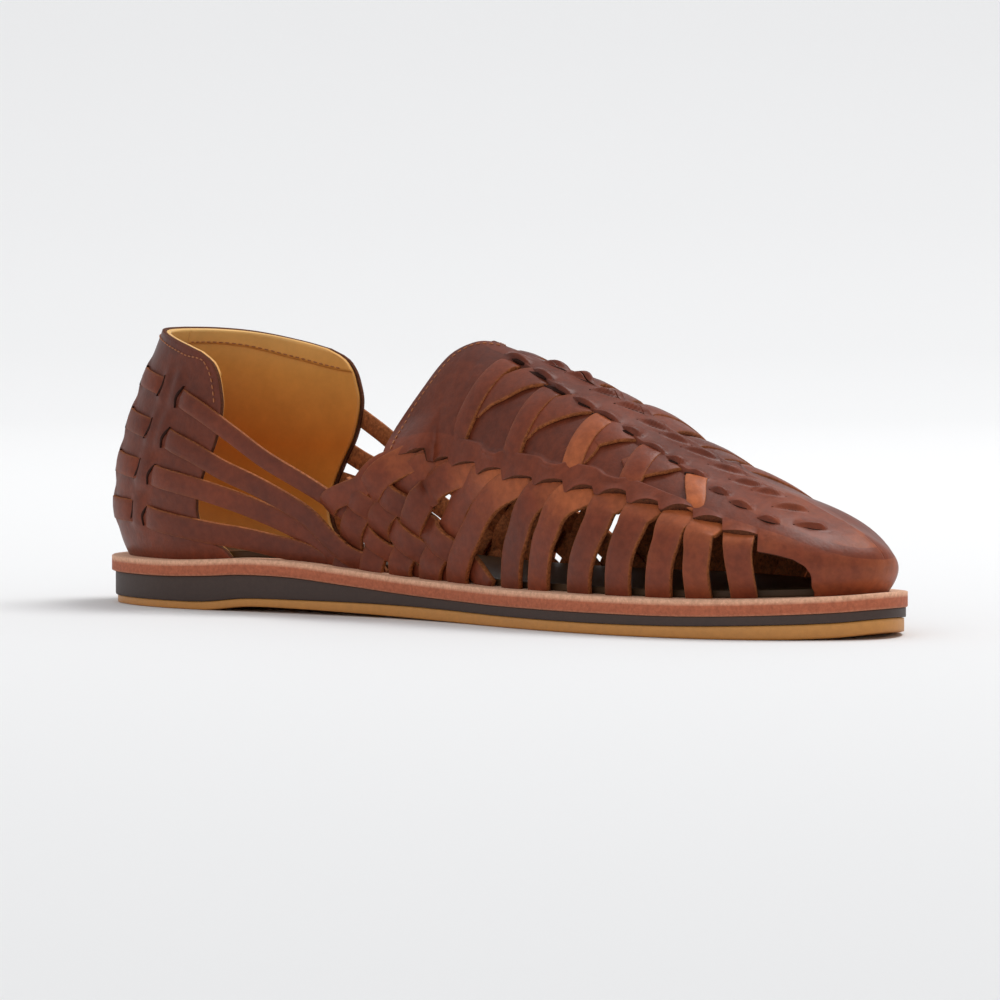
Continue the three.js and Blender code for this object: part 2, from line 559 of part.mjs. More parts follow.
function node(name, body, color, roughness) {
  const { vertProperties, triVerts, numProp } = body.getMesh();
  const position = new Float32Array(vertProperties.length / numProp * 3);
  for (let i = 0; i < position.length / 3; i += 1) {
    for (let c = 0; c < 3; c += 1) position[3 * i + c] = vertProperties[numProp * i + c];
  }
  const kept = shells(triVerts).filter((tris) => volumeOf(position, tris) > SPECK).flat();
  const geometry = new THREE.BufferGeometry();
  geometry.setAttribute('position', new THREE.BufferAttribute(position, 3));
  geometry.setIndex(new THREE.BufferAttribute(new Uint32Array(kept), 1));
  geometry.computeVertexNormals();
  const mesh = new THREE.Mesh(geometry, new THREE.MeshStandardMaterial({ color, roughness, metalness: 0 }));
  mesh.name = name;
  return mesh;
}

const weltSides = ring(SOLE_STEPS, 0).map((p) => p[1]);
const shoe = new THREE.Group();
shoe.name = 'huarache_sandal';
shoe.position.y = -(Math.min(...weltSides) + Math.max(...weltSides)) / 2;
shoe.add(node('outsole', outsole, 0xc08a45, 0.6));
shoe.add(node('midsole_wedge', wedge, 0x4a3530, 0.7));
shoe.add(node('welt', welt, 0xc98a6b, 0.75));
shoe.add(node('insole', insole, 0x8a6238, 0.6));
shoe.add(node('upper', upper, 0x70402c, 0.45));

export default shoe;
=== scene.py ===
# Woven leather huarache sandal, left shoe: leather, stitching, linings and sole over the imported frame
import math
import bmesh
import bpy
import numpy as np
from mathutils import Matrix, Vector


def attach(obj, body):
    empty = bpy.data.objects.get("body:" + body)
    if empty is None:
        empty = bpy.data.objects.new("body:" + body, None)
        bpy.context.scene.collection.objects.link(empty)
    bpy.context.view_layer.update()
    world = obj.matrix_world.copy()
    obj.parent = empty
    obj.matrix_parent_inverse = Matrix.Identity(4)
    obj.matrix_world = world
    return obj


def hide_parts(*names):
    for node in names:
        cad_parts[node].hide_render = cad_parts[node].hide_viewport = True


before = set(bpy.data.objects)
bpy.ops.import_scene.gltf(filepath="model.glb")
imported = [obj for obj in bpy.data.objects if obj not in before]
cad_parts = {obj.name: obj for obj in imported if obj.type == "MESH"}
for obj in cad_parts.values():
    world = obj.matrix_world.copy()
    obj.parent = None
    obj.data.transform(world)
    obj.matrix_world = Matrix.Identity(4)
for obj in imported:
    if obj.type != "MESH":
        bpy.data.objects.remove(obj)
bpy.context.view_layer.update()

rng = np.random.default_rng(7)

# Named sizes, millimetres
LENGTH = 298.0
BALL_WIDTH = 104.0
COLLAR_HEIGHT = 86.0
FEATHER_INSET = 5.5
INSOLE_INSET = 8.6
LEATHER = 1.9
LINING_THICK = 0.8
STRIP = 1.7
TOP_STRIP = 1.5
RECESS = 1.3
TUCKED = -2.0
# Rough millimetres for one unit of u and one of v, to spread points along a path
PATH_SCALE = [330, 90]


# Smooth curve through a short table
def curve(xs, ys):
    xs = np.array(xs, float)
    ys = np.array(ys, float)
    n = len(xs)
    lo = np.maximum(np.arange(n) - 1, 0)
    hi = np.minimum(np.arange(n) + 1, n - 1)
    slope = (ys[hi] - ys[lo]) / (xs[hi] - xs[lo])

    def value(x):
        x = np.clip(np.asarray(x, float), xs[0], xs[-1])
        i = np.clip(np.searchsorted(xs, x) - 1, 0, n - 2)
        h = xs[i + 1] - xs[i]
        t = (x - xs[i]) / h
        return ((2 * t**3 - 3 * t**2 + 1) * ys[i] + (t**3 - 2 * t**2 + t) * h * slope[i]
                + (3 * t**2 - 2 * t**3) * ys[i + 1] + (t**3 - t**2) * h * slope[i + 1])
    return value


def line(xs, ys):
    return lambda x: np.interp(x, xs, ys)


# Sole outline and stack heights
OUT_AT = np.array([0, 0.02, 0.06, 0.13, 0.20, 0.32, 0.42, 0.52, 0.62, 0.70, 0.78, 0.86, 0.93, 0.975, 1])
OUT_IN = [0, -0.16, -0.255, -0.325, -0.335, -0.30, -0.285, -0.32, -0.395, -0.44, -0.455, -0.425,
          -0.335, -0.225, -0.08]
OUT_OUT = [0, 0.16, 0.25, 0.32, 0.335, 0.36, 0.41, 0.475, 0.52, 0.517, 0.457, 0.358, 0.228, 0.10, -0.08]
OUT_TURN = np.arccos(1 - 2 * OUT_AT) / np.pi
outline_in = curve(OUT_TURN, OUT_IN)
outline_out = curve(OUT_TURN, OUT_OUT)
STACK_AT = [0, 0.08, 0.15, 0.20, 0.25, 0.31, 0.37, 0.46, 0.57, 0.67, 0.75, 0.84, 0.91, 0.97, 1]
ground_lift = curve(STACK_AT, [0, 0, 0, 0, 1.5, 1.5, 1.1, 0.5, 0, 0, 0, 0, 0, 0.7, 2.2])
gum_top = curve(STACK_AT, [2.4, 2.4, 2.4, 2.6, 4.0, 4.2, 4.2, 4.0, 3.4, 3.2, 3.2, 3.5, 4.1, 4.9, 6.0])
wedge_top = curve(STACK_AT, [9.8, 9.8, 9.9, 10.4, 11.2, 10.9, 9.4, 7.4, 6.3, 6.1, 6.1, 6.2, 6.8, 7.7, 8.6])
welt_top = curve(STACK_AT, [14.8, 14.8, 14.9, 15.5, 16.2, 15.9, 14.4, 12.4, 11.3, 11.2, 11.1, 11.2, 11.7,
                            12.5, 13.4])


def ground(s):
    return np.maximum(0, ground_lift(s))


def share(x):
    return x / LENGTH + 0.5


# Outline walk: 0 heel, 1 toe along the inner side, on to 2 back along the outer side
def walk(k):
    k = np.mod(np.asarray(k, float), 2.0)
    angle = np.where(k <= 1, k, 2 - k)
    y = np.where(k <= 1, outline_in(angle), outline_out(angle)) * BALL_WIDTH
    return np.stack([-np.cos(np.pi * angle) * LENGTH / 2, y], -1)


def ring(count, inset):
    k = np.arange(2 * count) / count
    p = walk(k)
    d = walk(k + 0.4 / count) - walk(k - 0.4 / count)
    d /= np.linalg.norm(d, axis=1)[:, None]
    inset = np.asarray(inset, float) * np.ones(len(k))
    return np.stack([p[:, 0] - inset * d[:, 1], p[:, 1] + inset * d[:, 0]], -1)


SIDES = ring(30, 0)[:, 1]
SHIFT = -(SIDES.min() + SIDES.max()) / 2

# Surface of the last
TOP_TOE = 134
TOP_HEEL = -127
TONGUE_PEAK = -1
ridge_height = curve([0.40, 0.50, 0.53, 0.57, 0.61, 0.65, 0.70, 0.75, 0.80, 0.85, 0.90, 0.95, 0.985],
                     [84, 84, 81.5, 78.3, 74.6, 70.3, 64.3, 56.4, 50.0, 43.7, 39.1, 32.7, 29.9])
ridge_side = curve([0.40, 0.5, 0.6, 0.7, 0.8, 0.9, 1], [-7, -8, -10.5, -12, -12, -10.5, -8.5])
AT_U = [0, 0.1, 0.2, 0.3, 0.4, 0.47, 0.514, 0.56, 0.62, 0.7, 0.8, 0.9, 1]
bulge = curve(AT_U, [8.3, 7.9, 10.9, 8, 8, 7, 6, 5, 5, 6, 9, 12, 12])
rise = curve(AT_U, [9.9, 10.9, 16.5, 20, 24, 28, 28, 26, 24, 22, 22, 22, 22])
crown_in = curve(AT_U, [11.4, 16, 22, 22, 22, 20, 18, 20, 24, 26, 26, 18, 18])
crown_out = curve(AT_U, [11.4, 16, 22, 26, 26, 22, 20, 20, 24, 26, 26, 18, 18])
crown_angle = curve(AT_U, [9.6, 9.6, 4.9, 0, 0, 8, 20, 58, 82, 88, 84, 72, 70])


def feather(u, side):
    angle = 1 - u
    at = np.where(side < 0, angle, 2 - angle)
    p = walk(at)
    d = walk(at + 0.006) - walk(at - 0.006)
    d = d / np.linalg.norm(d, axis=-1)[..., None]
    n = np.stack([d[..., 1], -d[..., 0]], -1)
    return p - FEATHER_INSET * n, n


def smooth(value):
    t = np.clip(value, 0, 1)
    return t * t * (3 - 2 * t)


# The tongue's sides keep to the ridge line a little way behind its peak: all of it high up, none low down
def top_line(u, v, side):
    x = (TOP_TOE + TOP_HEEL) / 2 + (TOP_TOE - TOP_HEEL) / 2 * np.cos(np.pi * u)
    tongue = smooth((v - 0.35) / 0.25) * (1 - smooth((u - 0.55) / 0.05))
    ridge = np.where(x >= TONGUE_PEAK, 1.0, tongue)
    middle = (TONGUE_PEAK + TOP_HEEL) / 2
    half = (TONGUE_PEAK - TOP_HEEL) / 2
    k = np.minimum(1, np.abs((x - middle) / half))
    blend = np.clip((TONGUE_PEAK - x) / 0.64 / half, 0, 1)
    collar = -8 * (1 - blend) + side * 33.5 * (1 - k**2.3) ** (1 / 2.3)
    y = ridge * ridge_side(share(x)) + (1 - ridge) * collar
    z = ridge * ridge_height(share(x)) + (1 - ridge) * COLLAR_HEIGHT
    return np.stack([x, y, z], -1)


# Point of the last: u runs 0 toe to 1 heel, v runs 0 welt to 1 top line, side is -1 inner or 1 outer
def surface(u, v, side):
    u, v, side = np.broadcast_arrays(np.asarray(u, float), np.asarray(v, float), np.asarray(side, float))
    foot, n = feather(u, side)
    p0 = np.concatenate([foot, welt_top(share(foot[..., 0]))[..., None]], -1)
    p3 = top_line(u, v, side)
    s = share(p3[..., 0])
    slope = np.where(p3[..., 0] > TONGUE_PEAK,
                     (ridge_height(s + 0.005) - ridge_height(s - 0.005)) / (0.01 * LENGTH), 0)
    angle = np.radians(crown_angle(u))
    crown = np.where(side < 0, crown_in(u), crown_out(u))
    flat = np.cos(angle) * crown
    b = bulge(u)
    p1 = p0 + np.stack([n[..., 0] * b, n[..., 1] * b, rise(u)], -1)
    p2 = p3 + np.stack([n[..., 0] * flat, n[..., 1] * flat,
                        n[..., 0] * slope * flat - np.sin(angle) * crown], -1)
    w = (1 - v)[..., None]
    v = v[..., None]
    return w**3 * p0 + 3 * w * w * v * p1 + 3 * w * v * v * p2 + v**3 * p3


def outward(u, v, side):
    u, v, side = np.broadcast_arrays(np.asarray(u, float), np.asarray(v, float), np.asarray(side, float))
    uu = np.clip(u, 0.004, 0.996)
    vv = np.clip(v, 0.01, 0.985)
    du = surface(uu + 0.003, vv, side) - surface(uu - 0.003, vv, side)
    dv = surface(uu, vv + 0.01, side) - surface(uu, vv - 0.01, side)
    n = np.cross(du, dv)
    n /= np.linalg.norm(n, axis=-1)[..., None]
    p = surface(uu, vv, side)
    away = n[..., 0] * p[..., 0] * 0.3 + n[..., 1] * (p[..., 1] + 8) + n[..., 2] * 12
    return n * np.where(away < 0, -1, 1)[..., None]


# Material helpers
def nodes_of(name):
    m = bpy.data.materials.new(name)
    m.use_nodes = True
    t = m.node_tree
    t.nodes.clear()
    out = t.nodes.new("ShaderNodeOutputMaterial")
    b = t.nodes.new("ShaderNodeBsdfPrincipled")
    t.links.new(b.outputs[0], out.inputs[0])
    return m, t, b


def new(t, kind, **values):
    n = t.nodes.new("ShaderNode" + kind)
    for key, value in values.items():
        if key in n.inputs:
            n.inputs[key].default_value = value
        else:
            setattr(n, key, value)
    return n


def rgb(r, g, b):
    def lin(c):
        c = c / 255
        return c / 12.92 if c <= 0.04045 else ((c + 0.055) / 1.055) ** 2.4
    return (lin(r), lin(g), lin(b), 1)


def ramp(t, stops):
    n = t.nodes.new("ShaderNodeValToRGB")
    e = n.color_ramp.elements
    while len(e) < len(stops):
        e.new(0.5)
    for el, (at, color) in zip(e, stops):
        el.position = at
        el.color = color
    return n


def mix(t, factor, a, b, blend="MIX"):
    n = t.nodes.new("ShaderNodeMix")
    n.data_type = "RGBA"
    n.blend_type = blend
    for socket, value in ((n.inputs[0], factor), (n.inputs[6], a), (n.inputs[7], b)):
        if isinstance(value, (tuple, float, int)):
            socket.default_value = value
        else:
            t.links.new(value, socket)
    return n.outputs[2]


def bump(t, b, height, strength, distance, normal=None):
    n = t.nodes.new("ShaderNodeBump")
    n.inputs["Strength"].default_value = strength
    n.inputs["Distance"].default_value = distance
    t.links.new(height, n.inputs["Height"])
    if normal is not None:
        t.links.new(normal, n.inputs["Normal"])
    t.links.new(n.outputs[0], b.inputs["Normal"])
    return n.outputs[0]


def attribute(t, name):
    n = t.nodes.new("ShaderNodeAttribute")
    n.attribute_name = name
    return n.outputs["Fac"]


def place(t):
    return t.nodes.new("ShaderNodeTexCoord").outputs["Object"]


def noise(t, scale, detail=3.0, rough=0.5):
    n = new(t, "TexNoise", Scale=scale, Detail=detail, Roughness=rough)
    t.links.new(place(t), n.inputs["Vector"])
    return n.outputs["Fac"]


# Oiled leather: tone picks the hide's colour, in places with painted shade and painted highlight; edge shows
# the raw cut
def leather(name, dark, mid, light, raw, roughness=0.42):
    m, t, b = nodes_of(name)
    tone = attribute(t, "tone")
    cloud = noise(t, 55, 4, 0.6)
    add = new(t, "Math", operation="MULTIPLY_ADD")
    t.links.new(cloud, add.inputs[0])
    add.inputs[1].default_value = 0.55
    t.links.new(tone, add.inputs[2])
    low = new(t, "Math", operation="SUBTRACT")
    t.links.new(add.outputs[0], low.inputs[0])
    low.inputs[1].default_value = 0.275
    r = ramp(t, [(0.05, dark), (0.5, mid), (0.95, light)])
    t.links.new(low.outputs[0], r.inputs[0])
    fine = noise(t, 420, 3, 0.6)
    speck = ramp(t, [(0.35, (0.82, 0.80, 0.79, 1)), (0.65, (1.08, 1.06, 1.05, 1))])
    t.links.new(fine, speck.inputs[0])
    body = mix(t, 1.0, r.outputs[0], speck.outputs[0], "MULTIPLY")
    fibre = noise(t, 900, 2, 0.7)
    fibres = ramp(t, [(0.3, (0.45, 0.40, 0.36, 1)), (0.7, (1.15, 1.1, 1.05, 1))])
    t.links.new(fibre, fibres.inputs[0])
    cut = mix(t, 1.0, raw, fibres.outputs[0], "MULTIPLY")
    edge = attribute(t, "edge")
    t.links.new(mix(t, edge, body, cut), b.inputs["Base Color"])
    gloss = new(t, "MapRange")
    t.links.new(cloud, gloss.inputs[0])
    gloss.inputs[1].default_value = 0.3
    gloss.inputs[2].default_value = 0.7
    gloss.inputs[3].default_value = roughness - 0.06
    gloss.inputs[4].default_value = roughness + 0.10
    top = new(t, "Math", operation="MULTIPLY_ADD")
    t.links.new(edge, top.inputs[0])
    top.inputs[1].default_value = 0.4
    t.links.new(gloss.outputs[0], top.inputs[2])
    t.links.new(top.outputs[0], b.inputs["Roughness"])
    grain = new(t, "TexVoronoi", Scale=1100)
    t.links.new(place(t), grain.inputs["Vector"])
    g = bump(t, b, grain.outputs["Distance"], 0.10, 0.0002)
    bump(t, b, fine, 0.22, 0.0005, g)
    b.inputs["Specular IOR Level"].default_value = 0.26
    return m


def plain(name, color, roughness, scale=500, amount=0.18, height=0.2, dark=None):
    m, t, b = nodes_of(name)
    n = noise(t, scale, 4, 0.65)
    low = dark or tuple(c * (1 - amount) for c in color[:3]) + (1,)
    r = ramp(t, [(0.3, low), (0.7, color)])
    t.links.new(n, r.inputs[0])
    t.links.new(r.outputs[0], b.inputs["Base Color"])
    b.inputs["Roughness"].default_value = roughness
    b.inputs["Specular IOR Level"].default_value = 0.25
    bump(t, b, n, height, 0.0004)
    return m


RAW = rgb(172, 104, 60)
UPPER = leather("upper_leather", rgb(76, 32, 20), rgb(124, 57, 33), rgb(188, 103, 58), RAW)
# Flesh side on the inner faces of the vamp and the counter: its own colour made darker as painted shade
# inside the shoe
SHADED_FLESH_SIDE = plain("flesh_side_painted_shade", rgb(92, 50, 26), 0.9, 700, 0.55, 0.5)
CUT = plain("raw_cut_edge", rgb(104, 54, 28), 0.85, 1400, 0.6, 0.6)
THREAD = plain("stitch_thread", rgb(178, 112, 72), 0.6, 2500, 0.2, 0.3)
# Footbed: its dark brown is partly its own colour and partly painted shade inside the shoe
FOOTBED = plain("footbed", rgb(78, 57, 37), 0.5, 80, 0.25, 0.1)
SHADOW = plain("slit_shadow", rgb(50, 22, 12), 1.0, 900, 0.4, 0.0)


def band_material(name, stops, roughness, scale, grain, height):
    m, t, b = nodes_of(name)
    level = attribute(t, "level")
    r = ramp(t, stops)
    t.links.new(level, r.inputs[0])
    n = noise(t, scale, 5, 0.7)
    g = ramp(t, [(0.3, (1 - grain, 1 - grain * 1.15, 1 - grain * 1.25, 1)), (0.7, (1.06, 1.05, 1.04, 1))])
    t.links.new(n, g.inputs[0])
    t.links.new(mix(t, 1.0, r.outputs[0], g.outputs[0], "MULTIPLY"), b.inputs["Base Color"])
    b.inputs["Roughness"].default_value = roughness
    bump(t, b, n, height, 0.0005)
    return m


# Stops run from the bottom of a layer to its top
WELT_STOPS = [(0.0, rgb(200, 130, 98)), (0.15, rgb(186, 102, 68)), (0.6, rgb(190, 106, 72)),
              (0.78, rgb(238, 180, 146)), (1.0, rgb(242, 192, 160))]
# The lining is lighter at the bottom than in the middle, as painted light on the lining low in the shoe where
# it lies in shade; it is lighter at the top as well
LINING_STOPS_PAINTED_LIGHT = [(0, rgb(232, 174, 96)), (0.22, rgb(226, 152, 64)), (0.5, rgb(224, 132, 46)),
                (0.8, rgb(238, 168, 80)), (1, rgb(244, 192, 112))]
WELT = band_material("welt_leather", WELT_STOPS, 0.75, 900, 0.36, 0.4)
WEDGE = band_material("wedge_rubber", [(0, rgb(60, 43, 36)), (1, rgb(66, 48, 40))], 0.6, 700, 0.14, 0.2)
GUM = band_material("gum_rubber", [(0, rgb(188, 124, 54)), (1, rgb(208, 146, 74))], 0.5, 500, 0.10, 0.12)
LINING = band_material("tan_lining", LINING_STOPS_PAINTED_LIGHT, 0.5, 70, 0.14, 0.05)


# Mesh helpers
def piece(name, verts, faces, materials, node, attrs=None):
    verts = np.asarray(verts, float).reshape(-1, 3).copy()
    verts[:, 1] += SHIFT
    me = bpy.data.meshes.new(name)
    me.from_pydata((verts / 1000).tolist(), [], [list(map(int, f)) for f in faces])
    for m in materials:
        me.materials.append(m)
    for key, values in (attrs or {}).items():
        layer = me.attributes.new(key, "FLOAT", "POINT")
        layer.data.foreach_set("value", np.asarray(values, np.float32).ravel())
    me.polygons.foreach_set("use_smooth", np.ones(len(me.polygons), bool))
    me.update()
    ob = bpy.data.objects.new(name, me)
    bpy.context.scene.collection.objects.link(ob)
    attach(ob, "root")
    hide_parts(node)
    return ob


def outward_faces(ob):
    bm = bmesh.new()
    bm.from_mesh(ob.data)
    bmesh.ops.remove_doubles(bm, verts=bm.verts, dist=1e-6)
    bmesh.ops.recalc_face_normals(bm, faces=bm.faces)
    bm.to_mesh(ob.data)
    bm.free()


# Smooth (u, v) path with its parameter spread by length in millimetres
def path_curves(path):
    path = np.array(path, float)
    d = np.diff(path, axis=0) * PATH_SCALE
    at = np.concatenate([[0], np.cumsum(np.hypot(d[:, 0], d[:, 1]))])
    at /= at[-1]
    return curve(at, path[:, 0]), curve(at, path[:, 1])


# A strip's section has rounded upper corners, and its raw cut edge shows on the sides and below
BEVEL = 0.42
SECTION_EDGE = [1, 1, 0.55, 0.1, 0, 0, 0, 0.1, 0.55, 1, 1, 1, 1, 1, 1]


# Leather strips along (u, v) paths; several strips gather in one list and become one piece
class Strips:
    def __init__(self):
        self.verts = []
        self.faces = []
        self.tone = []
        self.edge = []
        self.count = 0

    # Lifts are (t, height) pairs along the path, side 0 wraps round the heel, and taper scales the width
    def add(self, path, side, width, tone, lifts, steps=26, thick=STRIP, taper=None, crown=0.25):
        us, vs = path_curves(path)
        lift = curve(*zip(*lifts)) if len(lifts) > 1 else (lambda t: np.full_like(t, lifts[0][1]))
        t = np.linspace(0, 1, steps + 1)

        def where(t):
            u = us(t)
            if side != 0:
                return u, vs(t), np.full_like(u, side)
            return np.where(u <= 1, u, 2 - u), vs(t), np.where(u <= 1, -1.0, 1.0)
        d = surface(*where(np.minimum(t + 0.01, 1))) - surface(*where(np.maximum(t - 0.01, 0)))
        n = outward(*where(t))
        d /= np.linalg.norm(d, axis=1)[:, None]
        across = np.cross(n, d)
        across /= np.linalg.norm(across, axis=1)[:, None]
        n = np.cross(d, across)
        n *= np.sign(np.sum(n * outward(*where(t)), 1))[:, None]
        p = surface(*where(t)) + n * lift(t)[:, None]
        half = width / 2 * (np.ones_like(t) if taper is None else taper(t))
        section = [(-1, -BEVEL * 1.6), (-1, -BEVEL), (-0.985, -0.08), (-0.93, 0.0), (-0.6, crown * 0.55),
                   (0, crown), (0.6, crown * 0.55), (0.93, 0.0), (0.985, -0.08), (1, -BEVEL),
                   (1, -BEVEL * 1.6), (1, -thick + 0.15), (0.96, -thick), (-0.96, -thick),
                   (-1, -thick + 0.15)]
        m = len(section)
        base = self.count
        for x, y in section:
            self.verts.append(p + across * (half * x)[:, None] + n * y)
        rings = len(t)
        for k in range(m):
            j = (k + 1) % m
            for i in range(rings - 1):
                self.faces.append([base + k * rings + i, base + k * rings + i + 1,
                                   base + j * rings + i + 1, base + j * rings + i])
        self.faces.append([base + k * rings for k in range(m)])
        self.faces.append([base + k * rings + rings - 1 for k in range(m)][::-1])
        tones = tone(t) if callable(tone) else np.full(rings, tone)
        for e in SECTION_EDGE:
            self.tone.append(tones)
            self.edge.append(np.full(rings, e))
        self.count += m * rings

    def make(self, name, material=UPPER):
        ob = piece(name, np.concatenate(self.verts), self.faces, [material], "upper",
                   attrs={"tone": np.concatenate(self.tone), "edge": np.concatenate(self.edge)})
        outward_faces(ob)


# Camera at the angle that was fitted to the photograph, aimed at the last's own axis
AZIMUTH = math.radians(39)
ELEVATION = math.radians(2.488)
DISTANCE = 1.700
AIM_HEIGHT = 0.035
LENS = 204
back = Vector((math.sin(AZIMUTH) * math.cos(ELEVATION), -math.cos(AZIMUTH) * math.cos(ELEVATION),
               math.sin(ELEVATION)))
cam_data = bpy.data.cameras.new("camera")
cam = bpy.data.objects.new("camera", cam_data)
bpy.context.scene.collection.objects.link(cam)
cam.location = Vector((0, SHIFT / 1000, AIM_HEIGHT)) + back * DISTANCE
cam.rotation_euler = back.to_track_quat("Z", "Y").to_euler()
cam_data.sensor_width = 36
cam_data.lens = LENS
cam_data.clip_start = 0.05
cam_data.clip_end = 60
bpy.context.scene.camera = cam


# Sole stack
def slab(name, inset, low, high, round_edge, material, node, count=150, layers=7):
    flat = []
    level = []
    steps = []
    for k in range(layers + 1):
        f = k / layers
        z = 0.5 - 0.5 * math.cos(math.pi * f)
        pull = round_edge * (1 - min(1, min(f, 1 - f) / 0.18)) ** 2
        steps.append((z, pull))
    s_ring = ring(count, 0)
    for z, pull in steps:
        e = ring(count, inset(share(s_ring[:, 0])) + pull)
        s = share(e[:, 0])
        flat.append(np.column_stack([e, low(s) + (high(s) - low(s)) * z]))
        level.append(np.full(len(e), z))
    total = 2 * count
    faces = []
    for k in range(layers):
        for i in range(total):
            j = (i + 1) % total
            faces.append([k * total + i, k * total + j, (k + 1) * total + j, (k + 1) * total + i])
    verts = np.concatenate(flat)
    levels = np.concatenate(level)
    for base in (0, layers * total):
        for i in range(count):
            corners = (i, i + 1, (total - i - 1) % total, (total - i) % total)
            faces.append([base + corner for corner in dict.fromkeys(corners)])
    ob = piece(name, verts, faces, [material], node, attrs={"level": levels})
    outward_faces(ob)


# The seams between the sole's layers lie a little over the heights in the stack
SEAM_RISE = 0.1
FOOTBED_THICK = 2.2


def gum_high(s):
    return gum_top(s) + SEAM_RISE


def wedge_high(s):
    return wedge_top(s) + SEAM_RISE


def footbed_low(s):
    return welt_top(s) + 0.05


def footbed_high(s):
    return welt_top(s) + FOOTBED_THICK


slab("outsole_gum", line([0, 0.4, 1], [1.9, 1.3, 1.0]), ground, gum_high, 1.0, GUM, "outsole")
slab("wedge_dark", line([0, 0.4, 1], [1.2, 0.8, 0.5]), gum_high, wedge_high, 0.15, WEDGE, "midsole_wedge")
slab("welt_leather", line([0, 1], [0, 0]), wedge_high, welt_top, 0.45, WELT, "welt")
slab("footbed", line([0, 1], [INSOLE_INSET, INSOLE_INSET]), footbed_low, footbed_high, 0.6, FOOTBED, "insole")

# Side strips from the toe: centre line from the band's edge down to the welt, and width
SIDE = [
    ([(0.212, 0.421), (0.210, 0.283), (0.207, 0.149), (0.205, 0.010)], 7.6),
    ([(0.242, 0.468), (0.247, 0.381), (0.247, 0.270), (0.249, 0.160), (0.250, 0.009)], 7.8),
    ([(0.268, 0.474), (0.273, 0.394), (0.276, 0.294), (0.281, 0.205), (0.285, 0.109), (0.289, 0.004)], 8.3),
    ([(0.299, 0.462), (0.306, 0.391), (0.310, 0.318), (0.316, 0.237), (0.321, 0.161), (0.328, 0.001)], 8.6),
    ([(0.328, 0.449), (0.336, 0.384), (0.340, 0.314), (0.346, 0.251), (0.358, 0.129), (0.366, 0.002)], 8.5),
    ([(0.359, 0.416), (0.372, 0.361), (0.381, 0.301), (0.387, 0.238), (0.394, 0.179), (0.407, 0.0)], 8.3),
    ([(0.388, 0.400), (0.401, 0.342), (0.411, 0.273), (0.417, 0.209), (0.425, 0.140), (0.435, 0.006)], 8.5),
    ([(0.423, 0.375), (0.442, 0.316), (0.455, 0.255), (0.466, 0.180), (0.477, 0.109), (0.487, 0.02)], 8.6),
    ([(0.448, 0.383), (0.466, 0.342), (0.481, 0.277), (0.490, 0.209), (0.499, 0.146), (0.512, 0.019)], 8.6),
    ([(0.476, 0.377), (0.499, 0.329), (0.512, 0.277), (0.519, 0.221), (0.528, 0.151), (0.538, 0.033)], 8.4),
    ([(0.503, 0.389), (0.516, 0.358), (0.528, 0.323), (0.538, 0.280), (0.550, 0.211), (0.562, 0.047)], 8.2),
    ([(0.519, 0.417), (0.532, 0.398), (0.548, 0.360), (0.557, 0.312), (0.567, 0.256), (0.585, 0.032)], 8.0),
]
# Diagonals that weave with the rear side strips, top to foot
DIAGONAL = [
    [(0.556, 0.345), (0.545, 0.297), (0.533, 0.253), (0.518, 0.197), (0.501, 0.136), (0.479, 0.067),
     (0.460, -0.02)],
    [(0.582, 0.318), (0.574, 0.294), (0.558, 0.233), (0.541, 0.166), (0.524, 0.109), (0.508, 0.051),
     (0.494, -0.03)],
]
# Heel straps: front end in the weave, then up to the slit in the counter, third from last.
# The last height runs round the heel.
STRAP = [
    [(0.520, -0.03), (0.533, 0.027), (0.545, 0.066), (0.561, 0.129), (0.579, 0.195), (0.598, 0.270),
     (0.619, 0.338), (0.656, 0.445), (0.694, 0.562), (0.738, 0.665), (0.777, 0.724), (0.80, 0.748),
     (0.83, 0.757)],
    [(0.556, -0.03), (0.570, 0.022), (0.581, 0.054), (0.595, 0.115), (0.611, 0.190), (0.650, 0.300),
     (0.700, 0.415), (0.738, 0.495), (0.781, 0.551), (0.80, 0.570), (0.83, 0.578)],
    [(0.585, -0.03), (0.597, 0.019), (0.607, 0.060), (0.622, 0.128), (0.660, 0.220), (0.698, 0.295),
     (0.738, 0.348), (0.789, 0.387), (0.806, 0.398), (0.83, 0.404)],
    [(0.600, -0.03), (0.616, 0.030), (0.644, 0.060), (0.690, 0.109), (0.738, 0.158), (0.790, 0.199),
     (0.806, 0.210), (0.83, 0.216)],
]
STRAP_WIDTHS = [5.6, 6.3, 6.5, 7.0]
# Short strips across the vamp, tongue first: foot on the band, top under the ridge band, width, tone
SHORT = [
    [(0.486, 0.49), (0.476, 0.63), (0.468, 0.76), (0.463, 0.89)],
    [(0.427, 0.48), (0.421, 0.60), (0.416, 0.70), (0.411, 0.81)],
    [(0.369, 0.52), (0.366, 0.62), (0.363, 0.70), (0.359, 0.80)],
    [(0.317, 0.57), (0.3155, 0.64), (0.3145, 0.71), (0.313, 0.79)],
    [(0.256, 0.56), (0.258, 0.62), (0.262, 0.68), (0.266, 0.755)],
]
SHORT_WIDTHS = [7.4, 7.2, 7.0, 7.2, 6.4]
SHORT_TONES = [0.40, 0.42, 0.72, 0.56, 0.92]
# Slanting strips between them: raw lower edge, from the ridge band down to the foot of the strip behind
SLANT = [
    [(0.418, 0.850), (0.429, 0.771), (0.440, 0.697), (0.455, 0.634), (0.466, 0.575)],
    [(0.366, 0.820), (0.381, 0.724), (0.393, 0.657), (0.404, 0.599), (0.412, 0.540)],
    [(0.323, 0.815), (0.338, 0.701), (0.349, 0.626), (0.353, 0.558), (0.358, 0.510)],
    [(0.281, 0.765), (0.288, 0.700), (0.296, 0.656), (0.306, 0.601), (0.312, 0.560)],
]
SLANT_WIDTH = 9.4
